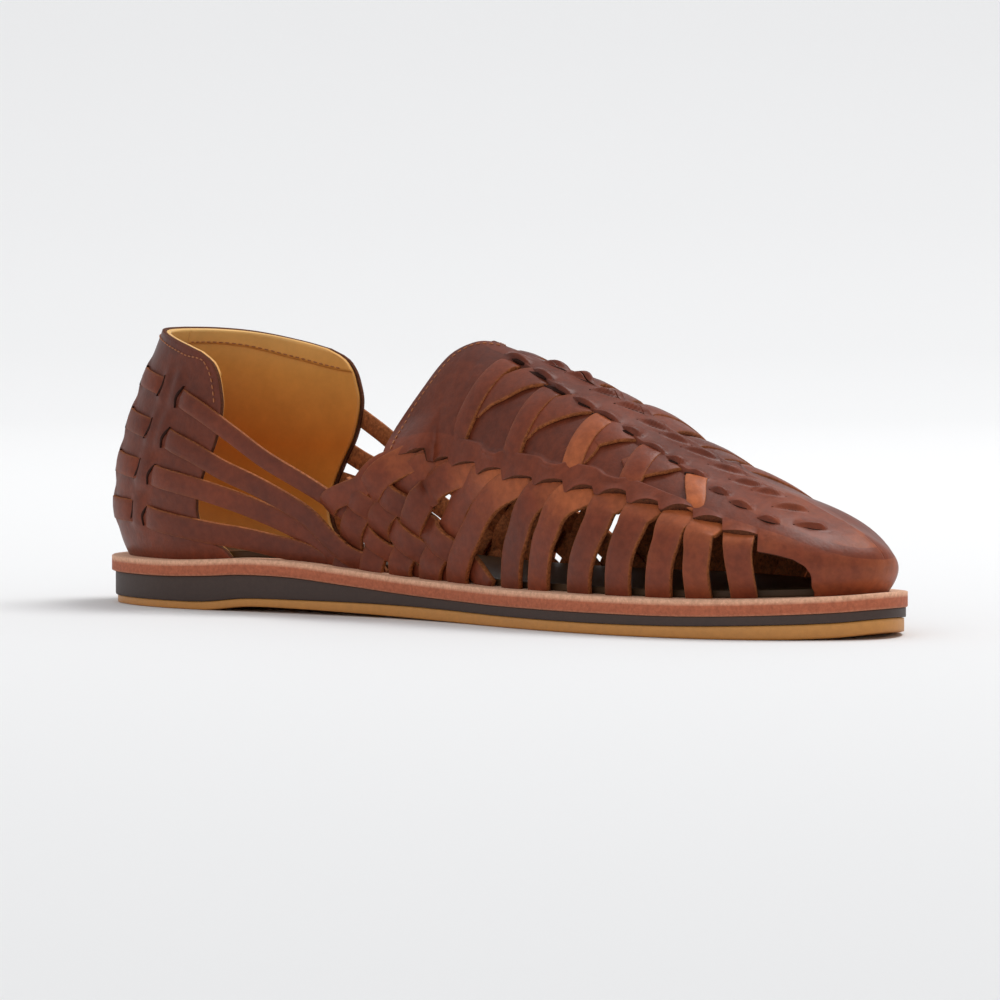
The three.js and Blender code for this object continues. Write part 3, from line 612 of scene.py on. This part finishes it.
# Arches of the band's low edge, rear ones last: front end and rear end of each
ARCH_FRONT = [(0.194, 0.460), (0.228, 0.523), (0.256, 0.531), (0.287, 0.492), (0.316, 0.488),
              (0.345, 0.449), (0.373, 0.434), (0.403, 0.411), (0.435, 0.411), (0.463, 0.410),
              (0.492, 0.410), (0.512, 0.434)]
ARCH_REAR = [(0.226, 0.440), (0.254, 0.464), (0.283, 0.453), (0.312, 0.436), (0.341, 0.421),
             (0.370, 0.391), (0.400, 0.384), (0.432, 0.372), (0.460, 0.370), (0.489, 0.379),
             (0.509, 0.389), (0.527, 0.426)]
# Slits along the ridge band's near edge and far edge, across the toe cap: front end, rear end.
# Here w is v on the inner side and 2 - v on the outer side.
NEAR_SLIT = [((0.447, 0.911), (0.475, 0.918)), ((0.418, 0.875), (0.441, 0.858)),
             ((0.395, 0.832), (0.420, 0.811)), ((0.370, 0.823), (0.393, 0.795)),
             ((0.346, 0.818), (0.370, 0.780)), ((0.326, 0.833), (0.344, 0.773)),
             ((0.300, 0.805), (0.323, 0.771)), ((0.280, 0.817), (0.300, 0.749)),
             ((0.256, 0.780), (0.277, 0.739)), ((0.231, 0.737), (0.251, 0.705)),
             ((0.205, 0.678), (0.230, 0.675)), ((0.174, 0.604), (0.199, 0.604))]
FAR_SLIT = [((0.425, 1.03), (0.447, 0.985)), ((0.400, 1.02), (0.423, 0.975)),
            ((0.373, 1.01), (0.391, 0.929)), ((0.347, 1.01), (0.366, 0.920)),
            ((0.320, 1.0), (0.342, 0.912)), ((0.296, 1.0), (0.322, 0.928)),
            ((0.262, 1.0), (0.299, 0.919)), ((0.232, 1.0), (0.268, 0.895)),
            ((0.200, 0.965), (0.243, 0.867)), ((0.176, 0.936), (0.218, 0.864)),
            ((0.142, 0.877), (0.189, 0.756)), ((0.112, 0.765), (0.161, 0.647))]
band_low = line([0, 0.125, 0.132, 0.134, 0.142, 0.156, 0.175, 0.192],
                [0.01, 0.01, 0.074, 0.184, 0.259, 0.306, 0.319, 0.322])
band_high = line([0, 0.2, 0.245, 0.31, 0.37, 0.43, 0.49, 0.55],
                 [0.40, 0.52, 0.56, 0.565, 0.515, 0.475, 0.48, 0.5])
ridge_in = line([0, 0.187, 0.218, 0.241, 0.265, 0.29, 0.335, 0.381, 0.406, 0.428, 0.46, 0.52],
                [0.6, 0.604, 0.677, 0.72, 0.76, 0.78, 0.80, 0.81, 0.822, 0.868, 0.915, 0.93])
ridge_out = line([0, 0.22, 0.27, 0.46, 0.52], [0.80, 0.88, 0.955, 0.965, 0.95])
tongue_edge = curve([0.42, 0.50, 0.573, 0.63, 0.715, 0.795, 0.853, 0.902, 0.945, 1],
                    [0.550, 0.554, 0.556, 0.552, 0.540, 0.531, 0.5245, 0.515, 0.505, 0.493])
# Notches in the band's high edge, and how much lower the band's low edge lies on the outer side
NOTCH = np.array([0.448, 0.386, 0.333])
OUTER_DROP = 0.06


def ridge_edge(u, side):
    return np.where(side < 0, ridge_in(u), ridge_out(u))


# Position in an arch of the band's edge: which one, and 0 at its rear end to 1 at its front end
def arch_at(u):
    front = np.array([p[0] for p in ARCH_FRONT])
    k = np.clip(np.searchsorted(front, u, side="right") - 1, 0, len(front) - 1)
    rear = np.array([p[0] for p in ARCH_REAR])
    return k, np.clip((rear[k] - u) / (rear[k] - front[k]), 0, 1)


def low_edge(u, side):
    u = np.asarray(u, float)
    k, f = arch_at(u)
    front = np.array([p[1] for p in ARCH_FRONT])[k]
    rear = np.array([p[1] for p in ARCH_REAR])[k]
    tooth = rear + (front - rear) * np.sin(f * np.pi / 2) ** 0.9
    return np.where(u < ARCH_FRONT[0][0], band_low(u), tooth - (OUTER_DROP if side > 0 else 0))


def notch(u):
    d = (np.asarray(u)[..., None] - NOTCH) / 0.010
    return np.exp(-np.min(np.abs(d), -1) ** 4)


def high_edge(u):
    return band_high(u) - 0.022 * notch(u)


# Humps of 0 to 1 where the ridge band's edge rides over a strip
def slit_hump(u, v, slits, reach):
    total = np.zeros(np.broadcast(u, v).shape)
    for (u0, v0), (u1, v1) in slits:
        f = (u - u0) / (u1 - u0)
        inside = (f > 0) & (f < 1)
        across = (v - (v0 + (v1 - v0) * f)) / reach
        fall = np.where(across < 0, across / 0.32, across)
        total = np.maximum(total, np.where(inside, np.sin(np.pi * np.clip(f, 0, 1)) * np.exp(-fall**2), 0))
    return total


# How far the window floor lies below the bands; its ends hide under the first and last short strips
def sunk(u, v):
    rear = 0.486 - 0.0575 * (v - 0.49)
    front = 0.256 + 0.05 * (v - 0.56)
    return RECESS * np.clip((rear - u) / 0.006 + 0.5, 0, 1) * np.clip((u - front) / 0.006 + 0.5, 0, 1)


# Heights of the relief in the vamp sheet, millimetres, and how far the humps reach in v
ARCH_LIFT = 0.85
NEAR_LIFT = 1.7
NEAR_REACH = 0.034
FAR_LIFT = 1.8
FAR_REACH = 0.040
OUTER_LIFT = 0.9
OUTER_REACH = 0.022
NOTCH_LIFT = 0.6
TONGUE_WAVE = 0.16
# On the outer side the ridge band's edge lies higher, and so do the humps and the strips' ends there
OUTER_RISE = 0.14
OUTER_SLIT = [((u0, v0 + OUTER_RISE), (u1, v1 + OUTER_RISE)) for (u0, v0), (u1, v1) in NEAR_SLIT[2:9]]


def vamp_lift(u, v, side):
    _, f = arch_at(u)
    over = np.sin(np.pi * np.clip(f, 0, 1)) * (u > 0.197) * (u < 0.53)
    lift = ARCH_LIFT * over * np.exp(-np.abs(v - low_edge(u, side)) / 0.03)
    w = np.where(side < 0, v, 2 - v)
    lift += NEAR_LIFT * slit_hump(u, w - 0.006, NEAR_SLIT, NEAR_REACH)
    lift += FAR_LIFT * slit_hump(u, w - 0.006, FAR_SLIT, FAR_REACH)
    if side > 0:
        lift += OUTER_LIFT * slit_hump(u, v - 0.018, OUTER_SLIT, OUTER_REACH)
    over_notch = np.exp(-((v - high_edge(u) + 0.008) / 0.012) ** 2) * (u > 0.3) * (u < 0.47)
    lift += NOTCH_LIFT * notch(u) * over_notch
    lift += TONGUE_WAVE * np.sin(u * 90 + v * 14) * np.exp(-((v - 0.7) / 0.25) ** 2) * (u > 0.49)
    return lift


def thicken(ob, thickness, materials=True):
    m = ob.modifiers.new("thickness", "SOLIDIFY")
    m.thickness = thickness / 1000
    m.offset = -1
    m.use_rim = True
    if materials:
        m.material_offset = 1
        m.material_offset_rim = 2
    deps = bpy.context.evaluated_depsgraph_get()
    me = bpy.data.meshes.new_from_object(ob.evaluated_get(deps))
    old = ob.data
    ob.modifiers.clear()
    ob.data = me
    bpy.data.meshes.remove(old)


# The vamp sheet: toe cap, band, sunk window and tongue. Columns run from the welt to the ridge.
FOOT_COLS = 12
BAND_COLS = 14
WINDOW_COLS = 22
RIDGE_COLS = 40
# Rows are straight up to BEND_U and bend to the tongue's edge behind it
BEND_U = 0.45
TONGUE_ROWS = 60
# Behind this u the sheet starts at the band's low edge and not at the welt
CAP_END = 0.1265


def vamp_columns(u, u_near, side):
    low = low_edge(u, side)
    high = np.maximum(high_edge(u), low + 0.02)
    near = np.clip(ridge_edge(u_near, side), high + 0.03, 0.985)
    v = np.concatenate([np.linspace(-0.03, low, FOOT_COLS + 1)[:-1],
                        np.linspace(low, high, BAND_COLS + 1),
                        np.linspace(high + 0.006, near - 0.004, WINDOW_COLS + 1),
                        np.linspace(near, 1, RIDGE_COLS + 1)])
    floor = np.zeros(len(v))
    floor[FOOT_COLS + BAND_COLS + 1:FOOT_COLS + BAND_COLS + WINDOW_COLS + 2] = 1
    return v, floor


def vamp():
    straight = np.concatenate([np.linspace(0, 0.12, 38), np.linspace(0.12, 0.20, 42)[1:],
                               np.linspace(0.20, BEND_U, 120)[1:]])
    cap_rows = int(np.searchsorted(straight, CAP_END))
    verts = []
    tone = []
    faces = []
    for side in (-1.0, 1.0):
        base = sum(len(v) for v in verts)
        grid_u = []
        grid_v = []
        grid_floor = []
        for u in straight:
            v, floor = vamp_columns(u, u, side)
            grid_u.append(np.full(len(v), u))
            grid_v.append(v)
            grid_floor.append(floor)
        for k in range(1, TONGUE_ROWS + 1):
            f = k / TONGUE_ROWS
            v, floor = vamp_columns(BEND_U + (tongue_edge(0.42) - BEND_U) * f,
                                    BEND_U + (tongue_edge(0.9) - BEND_U) * f, side)
            grid_u.append(BEND_U + (tongue_edge(v) - BEND_U) * f)
            grid_v.append(v)
            grid_floor.append(floor)
        U = np.array(grid_u)
        V = np.array(grid_v)
        lift = vamp_lift(U, V, side) - np.array(grid_floor) * sunk(U, V)
        verts.append((surface(U, V, side) + outward(U, V, side) * lift[..., None]).reshape(-1, 3))
        warm = np.interp(U, [0, 0.2, 0.3, 0.45, 0.55], [0.64, 0.50, 0.44, 0.39, 0.48])
        # The sunk window floor is painted darker, as painted shade in the recess; the sheet is also darker
        # above v 0.8 behind u 0.25
        tone.append((warm - 0.14 * np.array(grid_floor) - 0.10 * (V > 0.8) * (U > 0.25)).ravel())
        rows, cols = U.shape
        for i in range(rows - 1):
            for j in range(cols - 1):
                if j < FOOT_COLS and i >= cap_rows:
                    continue
                a = base + i * cols + j
                b = a + cols
                quad = [a, b, b + 1, a + 1]
                faces.append(quad if side < 0 else quad[::-1])
    ob = piece("vamp", np.concatenate(verts), faces, [UPPER, SHADED_FLESH_SIDE, CUT], "upper",
               attrs={"tone": np.concatenate(tone), "edge": np.zeros(sum(len(v) for v in verts))})
    outward_faces(ob)
    thicken(ob, LEATHER)


vamp()


# Paths count as crossing when they come this near, millimetres
CROSSING_GAP = 1.5


# Where two (u, v) paths cross: the parameter on each, or nothing
def crossing(first, second):
    t = np.linspace(0, 1, 160)
    a = np.column_stack([c(t) for c in path_curves(first)]) * PATH_SCALE
    b = np.column_stack([c(t) for c in path_curves(second)]) * PATH_SCALE
    gap = np.hypot(a[:, None, 0] - b[None, :, 0], a[:, None, 1] - b[None, :, 1])
    i, j = np.unravel_index(np.argmin(gap), gap.shape)
    return (t[i], t[j]) if gap[i, j] < CROSSING_GAP else None


# Strips pass over and under each other by turns, this far from the middle height of the weave
WEAVE = 1.35
WEAVE_MIDDLE = 0.3
# Side strips from this one on weave with the diagonals and the heel straps
FIRST_WOVEN = 7
side_paths = []
for points, _ in SIDE:
    (u0, v0), (u1, v1) = points[0], points[1]
    start = (u0 - (u1 - u0) * 0.7, v0 + (v0 - v1) * 0.7)
    side_paths.append([start] + points + [(points[-1][0] + 0.002, -0.05)])
crossed = DIAGONAL + [path[::-1] for path in STRAP]
side_lifts = [[(0, TUCKED), (0.12, -0.9)] for _ in SIDE]
crossed_lifts = [[] for _ in crossed]
for k in range(FIRST_WOVEN, len(SIDE)):
    for j, path in enumerate(crossed):
        met = crossing(side_paths[k], path)
        if met and 0.2 < met[0] < 0.97:
            height = WEAVE if (k + j) % 2 else -WEAVE
            side_lifts[k].append((met[0], height + WEAVE_MIDDLE))
            crossed_lifts[j].append((met[1], WEAVE_MIDDLE - height))
for k, lifts in enumerate(side_lifts):
    if len(lifts) == 2:
        lifts += [(0.3, 0.35), (0.65, 0.35), (1, 0)]
    else:
        lifts.append((1, -0.3))
    side_lifts[k] = sorted(lifts)


# Lifts sorted along a strip between a start and an end height, with near doubles left out
def tidy_lifts(lifts, start, end):
    inner = sorted(item for item in lifts if 0.03 < item[0] < 0.97)
    kept = [inner[0]] if inner else []
    for item in inner[1:]:
        if item[0] - kept[-1][0] > 0.02:
            kept.append(item)
    return [(0, start)] + kept + [(1, end)]


# Width of a slit's shadow along its length
def lens(t):
    return np.clip(np.sin(np.pi * t), 0.04, 1) ** 0.8


# How far the feet of two outer strips move to close the wide gap between them
OUTER_PULL = {6: 0.014, 7: -0.008}


# Distance between the centre lines of a side strip and its neighbours
def pitch(k, t, side):
    def centre(j):
        us, vs = path_curves(side_paths[j])
        foot = OUTER_PULL.get(j, 0) * (1 - vs(t) / side_paths[j][0][1])
        return surface(us(t) + foot, vs(t), side)
    return np.mean([np.linalg.norm(centre(j) - centre(k), axis=1) for j in (k - 1, k + 1)
                    if 0 <= j < len(side_paths)], 0)


DIAGONAL_WIDTH = 7.8
# Folded collar edge between the tongue and the heel straps
FOLD = [(0.540, 0.425), (0.549, 0.405), (0.557, 0.370), (0.566, 0.325), (0.580, 0.300), (0.592, 0.272),
        (0.599, 0.230)]
FOLD_WIDTH = 7.0
FOLD_LIFTS = [(0, -1.6), (0.12, 0.2), (0.3, 1.0), (0.7, 1.5), (0.88, 1.0), (1, -0.6)]
SHORT_LIFTS = [(0, -0.35), (0.1, -0.05), (0.25, 0.25), (0.6, 0.6), (0.82, 0.35), (0.9, -0.2), (1, -2.0)]
SLANT_LIFTS = [(0, -2.0), (0.12, -0.6), (0.3, 0.0), (0.6, 0.0), (1, -0.6)]
SLANT_THICK = 1.3


# Inner side strips widen towards the band, and outer ones fill most of the way to their neighbours
def side_taper(k, width, side):
    if side > 0:
        widest = 1.6 if k < 8 else 1.14
        return lambda t: np.clip(0.94 * pitch(k, t, side) / width, 0.9, widest)
    spread = 0.28 if k < FIRST_WOVEN else 0.12
    return lambda t: 1 + spread * np.exp(-(t / 0.34) ** 2)


# Light where the strip bends out from under the band, darker below
def bent_tone(shade):
    return lambda t: shade + 0.42 * np.exp(-(t / 0.28) ** 2)


def side_strips(side, label):
    strips = Strips()
    for k, (path, (_, width)) in enumerate(zip(side_paths, SIDE)):
        shade = np.interp(k, [0, 3, 7, 11], [0.36, 0.42, 0.34, 0.30]) + rng.uniform(-0.08, 0.12)
        woven = k >= FIRST_WOVEN
        pull = OUTER_PULL.get(k, 0) if side > 0 else 0
        path = [(u + pull * (1 - v / path[0][1]), v) for u, v in path]
        strips.add(path, side, width + (0.3 if woven and side < 0 else 0), bent_tone(shade),
                   tidy_lifts(side_lifts[k], TUCKED, 0.0), steps=40, taper=side_taper(k, width, side),
                   crown=0.5 if woven else 0.3)
    strips.make(f"side_strips_{label}")


def diagonal_strips(side, label):
    strips = Strips()
    for path, lifts in zip(DIAGONAL, crossed_lifts):
        strips.add(path, side, DIAGONAL_WIDTH, 0.34 + rng.uniform(-0.06, 0.10), tidy_lifts(lifts, 0.2, -0.4),
                   steps=36, crown=0.5)
    strips.make(f"diagonal_strips_{label}")


def folded_edge(side, label):
    strips = Strips()
    strips.add(FOLD, side, FOLD_WIDTH, 0.42, FOLD_LIFTS)
    strips.make(f"folded_edge_{label}")


# The ends of a path on the outer side rise with the ridge band
def risen(path, foot, top, side):
    rise_by = OUTER_RISE if side > 0 else 0.0
    return [(u, v + rise_by * (v - foot[1]) / (top[1] - foot[1])) for u, v in path]


# Short strips across the vamp, their ends drawn out under the bands
def short_strips(side, label):
    strips = Strips()
    # On the outer side the short strips are painted darker, as painted shade on the far side
    darker = 1 if side < 0 else 0.6
    for path, width, shade in zip(SHORT, SHORT_WIDTHS, SHORT_TONES):
        moved = risen(path, path[0], path[-1], side)
        top_u, top_v = moved[-1]
        moved = [(path[0][0] + 0.001, path[0][1] - 0.035)] + moved + [(top_u - 0.001, min(top_v + 0.035, 1))]
        taper = (lambda t: 0.8 + 0.25 * t) if shade > 0.9 else None
        strips.add(moved, side, width, shade * darker, SHORT_LIFTS, steps=36, thick=TOP_STRIP, taper=taper,
                   crown=0.3)
    strips.make(f"short_strips_{label}")


# Slanting strips between the short ones, moved by half a width so that the path is their raw lower edge
def slant_strips(side, label):
    strips = Strips()
    for path in SLANT:
        moved = [(u + 0.0115, v + 0.034) for u, v in risen(path, path[-1], path[0], side)]
        moved = [(moved[0][0] - 0.003, min(moved[0][1] + 0.03, 1))] + moved
        strips.add(moved, side, SLANT_WIDTH, 0.36 + rng.uniform(-0.04, 0.08), SLANT_LIFTS, steps=32,
                   thick=SLANT_THICK)
    strips.make(f"slant_strips_{label}")


for side, label in ((-1, "inner"), (1, "outer")):
    side_strips(side, label)
    diagonal_strips(side, label)
    folded_edge(side, label)
    short_strips(side, label)
    slant_strips(side, label)

# Heel straps: one loop each, through the weave on both sides and in and out of the heel counter
HIDDEN = -0.5
# Height of each strap where the four come together behind the weave
MEETING = [0.3, 1.3, 0.2, 1.0]
STRAP_THICK = 1.15
PAD_LIFT = 1.3
# Distance from the counter's slit, and height, where a strap goes in
SLIT_LIFTS = [(-0.022, 1.35), (-0.006, 0.9), (0.010, HIDDEN)]
# Height by u of the pads that show behind the slit
PAD_LIFTS = [(0.812, HIDDEN), (0.825, 0.9), (0.84, 1.35), (0.87, 1.35), (0.886, 0.9), (0.897, HIDDEN),
             (0.922, HIDDEN), (0.935, 0.9), (0.95, PAD_LIFT)]
strips = Strips()
for half, width, lifts, meeting in zip(STRAP, STRAP_WIDTHS, crossed_lifts[len(DIAGONAL):], MEETING):
    v = half[-1][1]
    rear = [(u, v) for u in (0.865, 0.90, 0.93, 0.965)]
    loop = half + rear + [(1.0, v)] + [(2 - u, h) for u, h in (half + rear)[::-1]]
    t = np.linspace(0, 1, 400)
    at_u = path_curves(loop)[0](t)

    # Place on the loop's first half for a value of u
    def at(value):
        return float(np.interp(value, at_u[:200], t[:200]))
    from_foot = path_curves(half[::-1])[0]
    knots = [(0, -0.4)]
    for met, height in sorted((at(float(from_foot(met))), height) for met, height in lifts):
        if met - knots[-1][0] > 0.006 and met < at(0.60):
            knots.append((met, height))
    slit = half[-3][0]
    by_u = [(0.625, meeting), (0.67, 0.5), (0.72, 0.9)] + [(slit + d, h) for d, h in SLIT_LIFTS] + PAD_LIFTS
    knots = sorted(knots + [(at(u), height) for u, height in by_u])
    far = [(1 - met, height) for met, height in knots[::-1]]
    strips.add(loop, 0, width, 0.34 + rng.uniform(-0.05, 0.08), knots + [(0.5, PAD_LIFT)] + far, steps=300,
               thick=STRAP_THICK)
strips.make("heel_straps")

# Heel counter and lining: front edge, and a top line that falls from the heel to the front corner
counter_front = curve([0, 0.05, 0.10, 0.22, 0.32, 0.45, 0.62, 0.78, 0.874, 0.934, 0.98, 1],
                      [0.685, 0.692, 0.707, 0.719, 0.722, 0.720, 0.714, 0.716, 0.724, 0.732, 0.745, 0.765])
collar_share = curve([0.70, 0.75, 0.80, 0.87, 0.94, 1], [0.87, 0.90, 0.94, 0.975, 0.995, 1])


# One sheet round the heel, set off from the last by a lift and swollen where the straps go in
def counter(name, lift, thickness, materials, bottom=-0.03, grow=0.0, rows=100, cols=70, bumps=True):
    verts = []
    faces = []
    tone = []
    level = []
    for side in (-1.0, 1.0):
        base = sum(len(v) for v in verts)
        s = np.linspace(bottom, 1, cols + 1)[None, :] * np.ones((rows + 1, 1))
        f = np.linspace(0, 1, rows + 1)[:, None]
        front = counter_front(s) + grow
        u = front + (1 - front) * f
        v = s * collar_share(u)
        swell = np.zeros(u.shape)
        if bumps:
            for half in STRAP:
                centre = half[-1][1]
                near_pad = np.exp(-((v - centre) / 0.075) ** 4)
                slits_at = (half[-3][0] + 0.012, 0.814, 0.897, 0.924)
                ends = sum(np.exp(-((u - e) / 0.010) ** 2) for e in slits_at)
                swell += 0.8 * near_pad * ends
        verts.append((surface(u, v, side) + outward(u, v, side) * (lift + swell)[..., None]).reshape(-1, 3))
        # Lighter low down, as a painted highlight, and darker on the swellings round the slits, as painted
        # shade; also lighter towards the front edge
        tone.append((0.30 + 0.10 * (1 - f) - 0.16 * v - 0.10 * swell).ravel())
        level.append(v.ravel())
        for i in range(rows):
            for j in range(cols):
                a = base + i * (cols + 1) + j
                b = a + cols + 1
                quad = [a, b, b + 1, a + 1]
                faces.append(quad if side < 0 else quad[::-1])
    ob = piece(name, np.concatenate(verts), faces, materials, "upper",
               attrs={"tone": np.concatenate(tone), "edge": np.zeros(sum(len(v) for v in verts)),
                      "level": np.concatenate(level)})
    outward_faces(ob)
    thicken(ob, thickness, len(materials) > 1)


counter("heel_counter", 0.0, 1.4, [UPPER, SHADED_FLESH_SIDE, CUT])
counter("heel_lining", -1.45, LINING_THICK, [LINING], grow=0.002, bumps=False)
counter("collar_binding", -2.2, 0.5, [LINING], bottom=0.92, grow=0.002, cols=6, bumps=False)

# Slits on the ridge band and the toe cap: a dark lens under a raised lip of the band
slits = Strips()


def shadow(path, side, width, height, thick):
    slits.add(path, side, width, 0.0, [(0, height)], steps=16, thick=thick, taper=lens, crown=0.05)


for (u0, w0), (u1, w1) in NEAR_SLIT + FAR_SLIT:
    middle = ((u0 + u1) / 2, (w0 + w1) / 2 - 0.004)
    shadow([(u, min(w, 0.999)) for u, w in ((u1, w1), middle, (u0, w0))], -1, 1.7, 0.12, 0.9)

# Dark gaps where the heel straps pass through the counter: u, v and bow of each
GAP_REACH = 0.046
for side in (-1, 1):
    for half in STRAP:
        v = half[-1][1]
        slit = half[-3]
        for u, h, bow in ((slit[0] + 0.004, slit[1], 0.005), (0.819, v, -0.003), (0.891, v, 0.003)):
            shadow([(u - bow / 2 - 0.003, h + GAP_REACH), (u + bow / 2, h),
                    (u - bow / 2 + 0.003, h - GAP_REACH)], side, 0.9, 0.85, 0.8)
slits.make("slit_shadows", material=SHADOW)


# Stitches: short thread capsules at even steps along (u, v) paths
def stitches(name, paths, step=2.1, size=1.45, radius=0.24):
    verts = []
    faces = []
    count = 0
    for path, side, lift in paths:
        us, vs = path_curves(path)
        t = np.linspace(0, 1, 400)
        p = surface(us(t), vs(t), side) + outward(us(t), vs(t), side) * lift
        run = np.concatenate([[0], np.cumsum(np.linalg.norm(np.diff(p, axis=0), axis=1))])
        n = outward(us(t), vs(t), side)
        for start in np.arange(0.6, run[-1] - size, step):
            stations = start + size * np.array([0, 0.12, 0.5, 0.88, 1.0])
            heights = [0.05, 0.75, 1.0, 0.75, 0.05]
            centre = np.column_stack([np.interp(stations, run, p[:, c]) for c in range(3)])
            up = np.column_stack([np.interp(stations, run, n[:, c]) for c in range(3)])
            along = centre[-1] - centre[0]
            along /= np.linalg.norm(along)
            across = np.cross(up, along)
            for c, u, a, h in zip(centre, up, across, heights):
                for k in range(6):
                    th = math.pi * k / 3
                    verts.append(c + a * math.cos(th) * radius * h + u * (math.sin(th) * radius * h))
            for r in range(4):
                for k in range(6):
                    a = count + 6 * r + k
                    b = count + 6 * r + (k + 1) % 6
                    faces.append([a, b, b + 6, a + 6])
            count += 30
    piece(name, verts, faces, [THREAD], "upper")


# Seams: along the tongue, round the counter's front corner and top line, and along the lining inside
ON_LEATHER = 0.12
ON_LINING = -2.75
seams = []
for side in (-1, 1):
    v = np.linspace(0.45, 0.995, 14)
    seams.append((list(zip(tongue_edge(v) - 0.0075, v)), side, ON_LEATHER))
    corner = []
    for s in np.linspace(0.80, 0.985, 8):
        u = float(counter_front(s)) + 0.008
        corner.append((u, float(s * collar_share(u)) - 0.012))
    top = [(float(u), float(collar_share(u)) - 0.036) for u in np.linspace(0.785, 1.0, 12)]
    seams.append((corner + top, side, ON_LEATHER))
    inside = [(float(u), float(collar_share(u)) * 0.93) for u in np.linspace(0.745, 1.0, 12)]
    seams.append((inside, side, ON_LINING))
stitches("stitching", seams)

# Floor, backdrop and light
floor_mat, t, b = nodes_of("floor_paper")
b.inputs["Base Color"].default_value = (0.86, 0.86, 0.86, 1)
b.inputs["Roughness"].default_value = 0.9
FLOOR_NEAR = -6
FLOOR_BEND = 2
BACK_RADIUS = 4
HALF_WIDTH = 9
FLOOR_STEPS = 12
profile = [(FLOOR_NEAR + (FLOOR_BEND - FLOOR_NEAR) * i / FLOOR_STEPS, 0.0) for i in range(FLOOR_STEPS)]
for i in range(FLOOR_STEPS + 1):
    turn = math.pi / 2 * i / FLOOR_STEPS
    profile.append((FLOOR_BEND + BACK_RADIUS * math.sin(turn), BACK_RADIUS * (1 - math.cos(turn))))
verts = [(x, y, z) for y, z in profile for x in (-HALF_WIDTH, HALF_WIDTH)]
faces = [[2 * i, 2 * i + 1, 2 * i + 3, 2 * i + 2] for i in range(len(profile) - 1)]
me = bpy.data.meshes.new("floor")
me.from_pydata(verts, [], faces)
me.materials.append(floor_mat)
me.polygons.foreach_set("use_smooth", np.ones(len(me.polygons), bool))
floor = bpy.data.objects.new("floor", me)
floor.rotation_euler = (0, 0, AZIMUTH)
bpy.context.scene.collection.objects.link(floor)


def area(name, place_at, aim, size, power):
    data = bpy.data.lights.new(name, "AREA")
    data.shape = "RECTANGLE"
    data.size = size[0]
    data.size_y = size[1]
    data.energy = power
    ob = bpy.data.objects.new(name, data)
    ob.location = place_at
    ob.rotation_euler = (place_at - aim).to_track_quat("Z", "Y").to_euler()
    bpy.context.scene.collection.objects.link(ob)


# Point in metres to the camera's right of the shoe, in front of it and above the floor
def seen(right, front, up):
    return Vector((right * math.cos(AZIMUTH) + front * math.sin(AZIMUTH),
                   right * math.sin(AZIMUTH) - front * math.cos(AZIMUTH), up))


SHOE = seen(0, 0, 0.03)
area("key", seen(1.1, -0.35, 2.6), SHOE, size=(1.5, 1.1), power=39)
area("fill", seen(-0.9, 1.8, 0.9), SHOE, size=(1.6, 1.2), power=4.5)
area("backdrop", seen(0, -1.0, 3.4), seen(0, -4.5, 1.2), size=(6, 1.5), power=74)
world = bpy.data.worlds.new("studio")
bpy.context.scene.world = world
world.use_nodes = True
sky = world.node_tree.nodes["Background"]
sky.inputs["Color"].default_value = (0.97, 0.98, 1.0, 1)
sky.inputs["Strength"].default_value = 0.54
bpy.context.scene.view_settings.view_transform = "Standard"
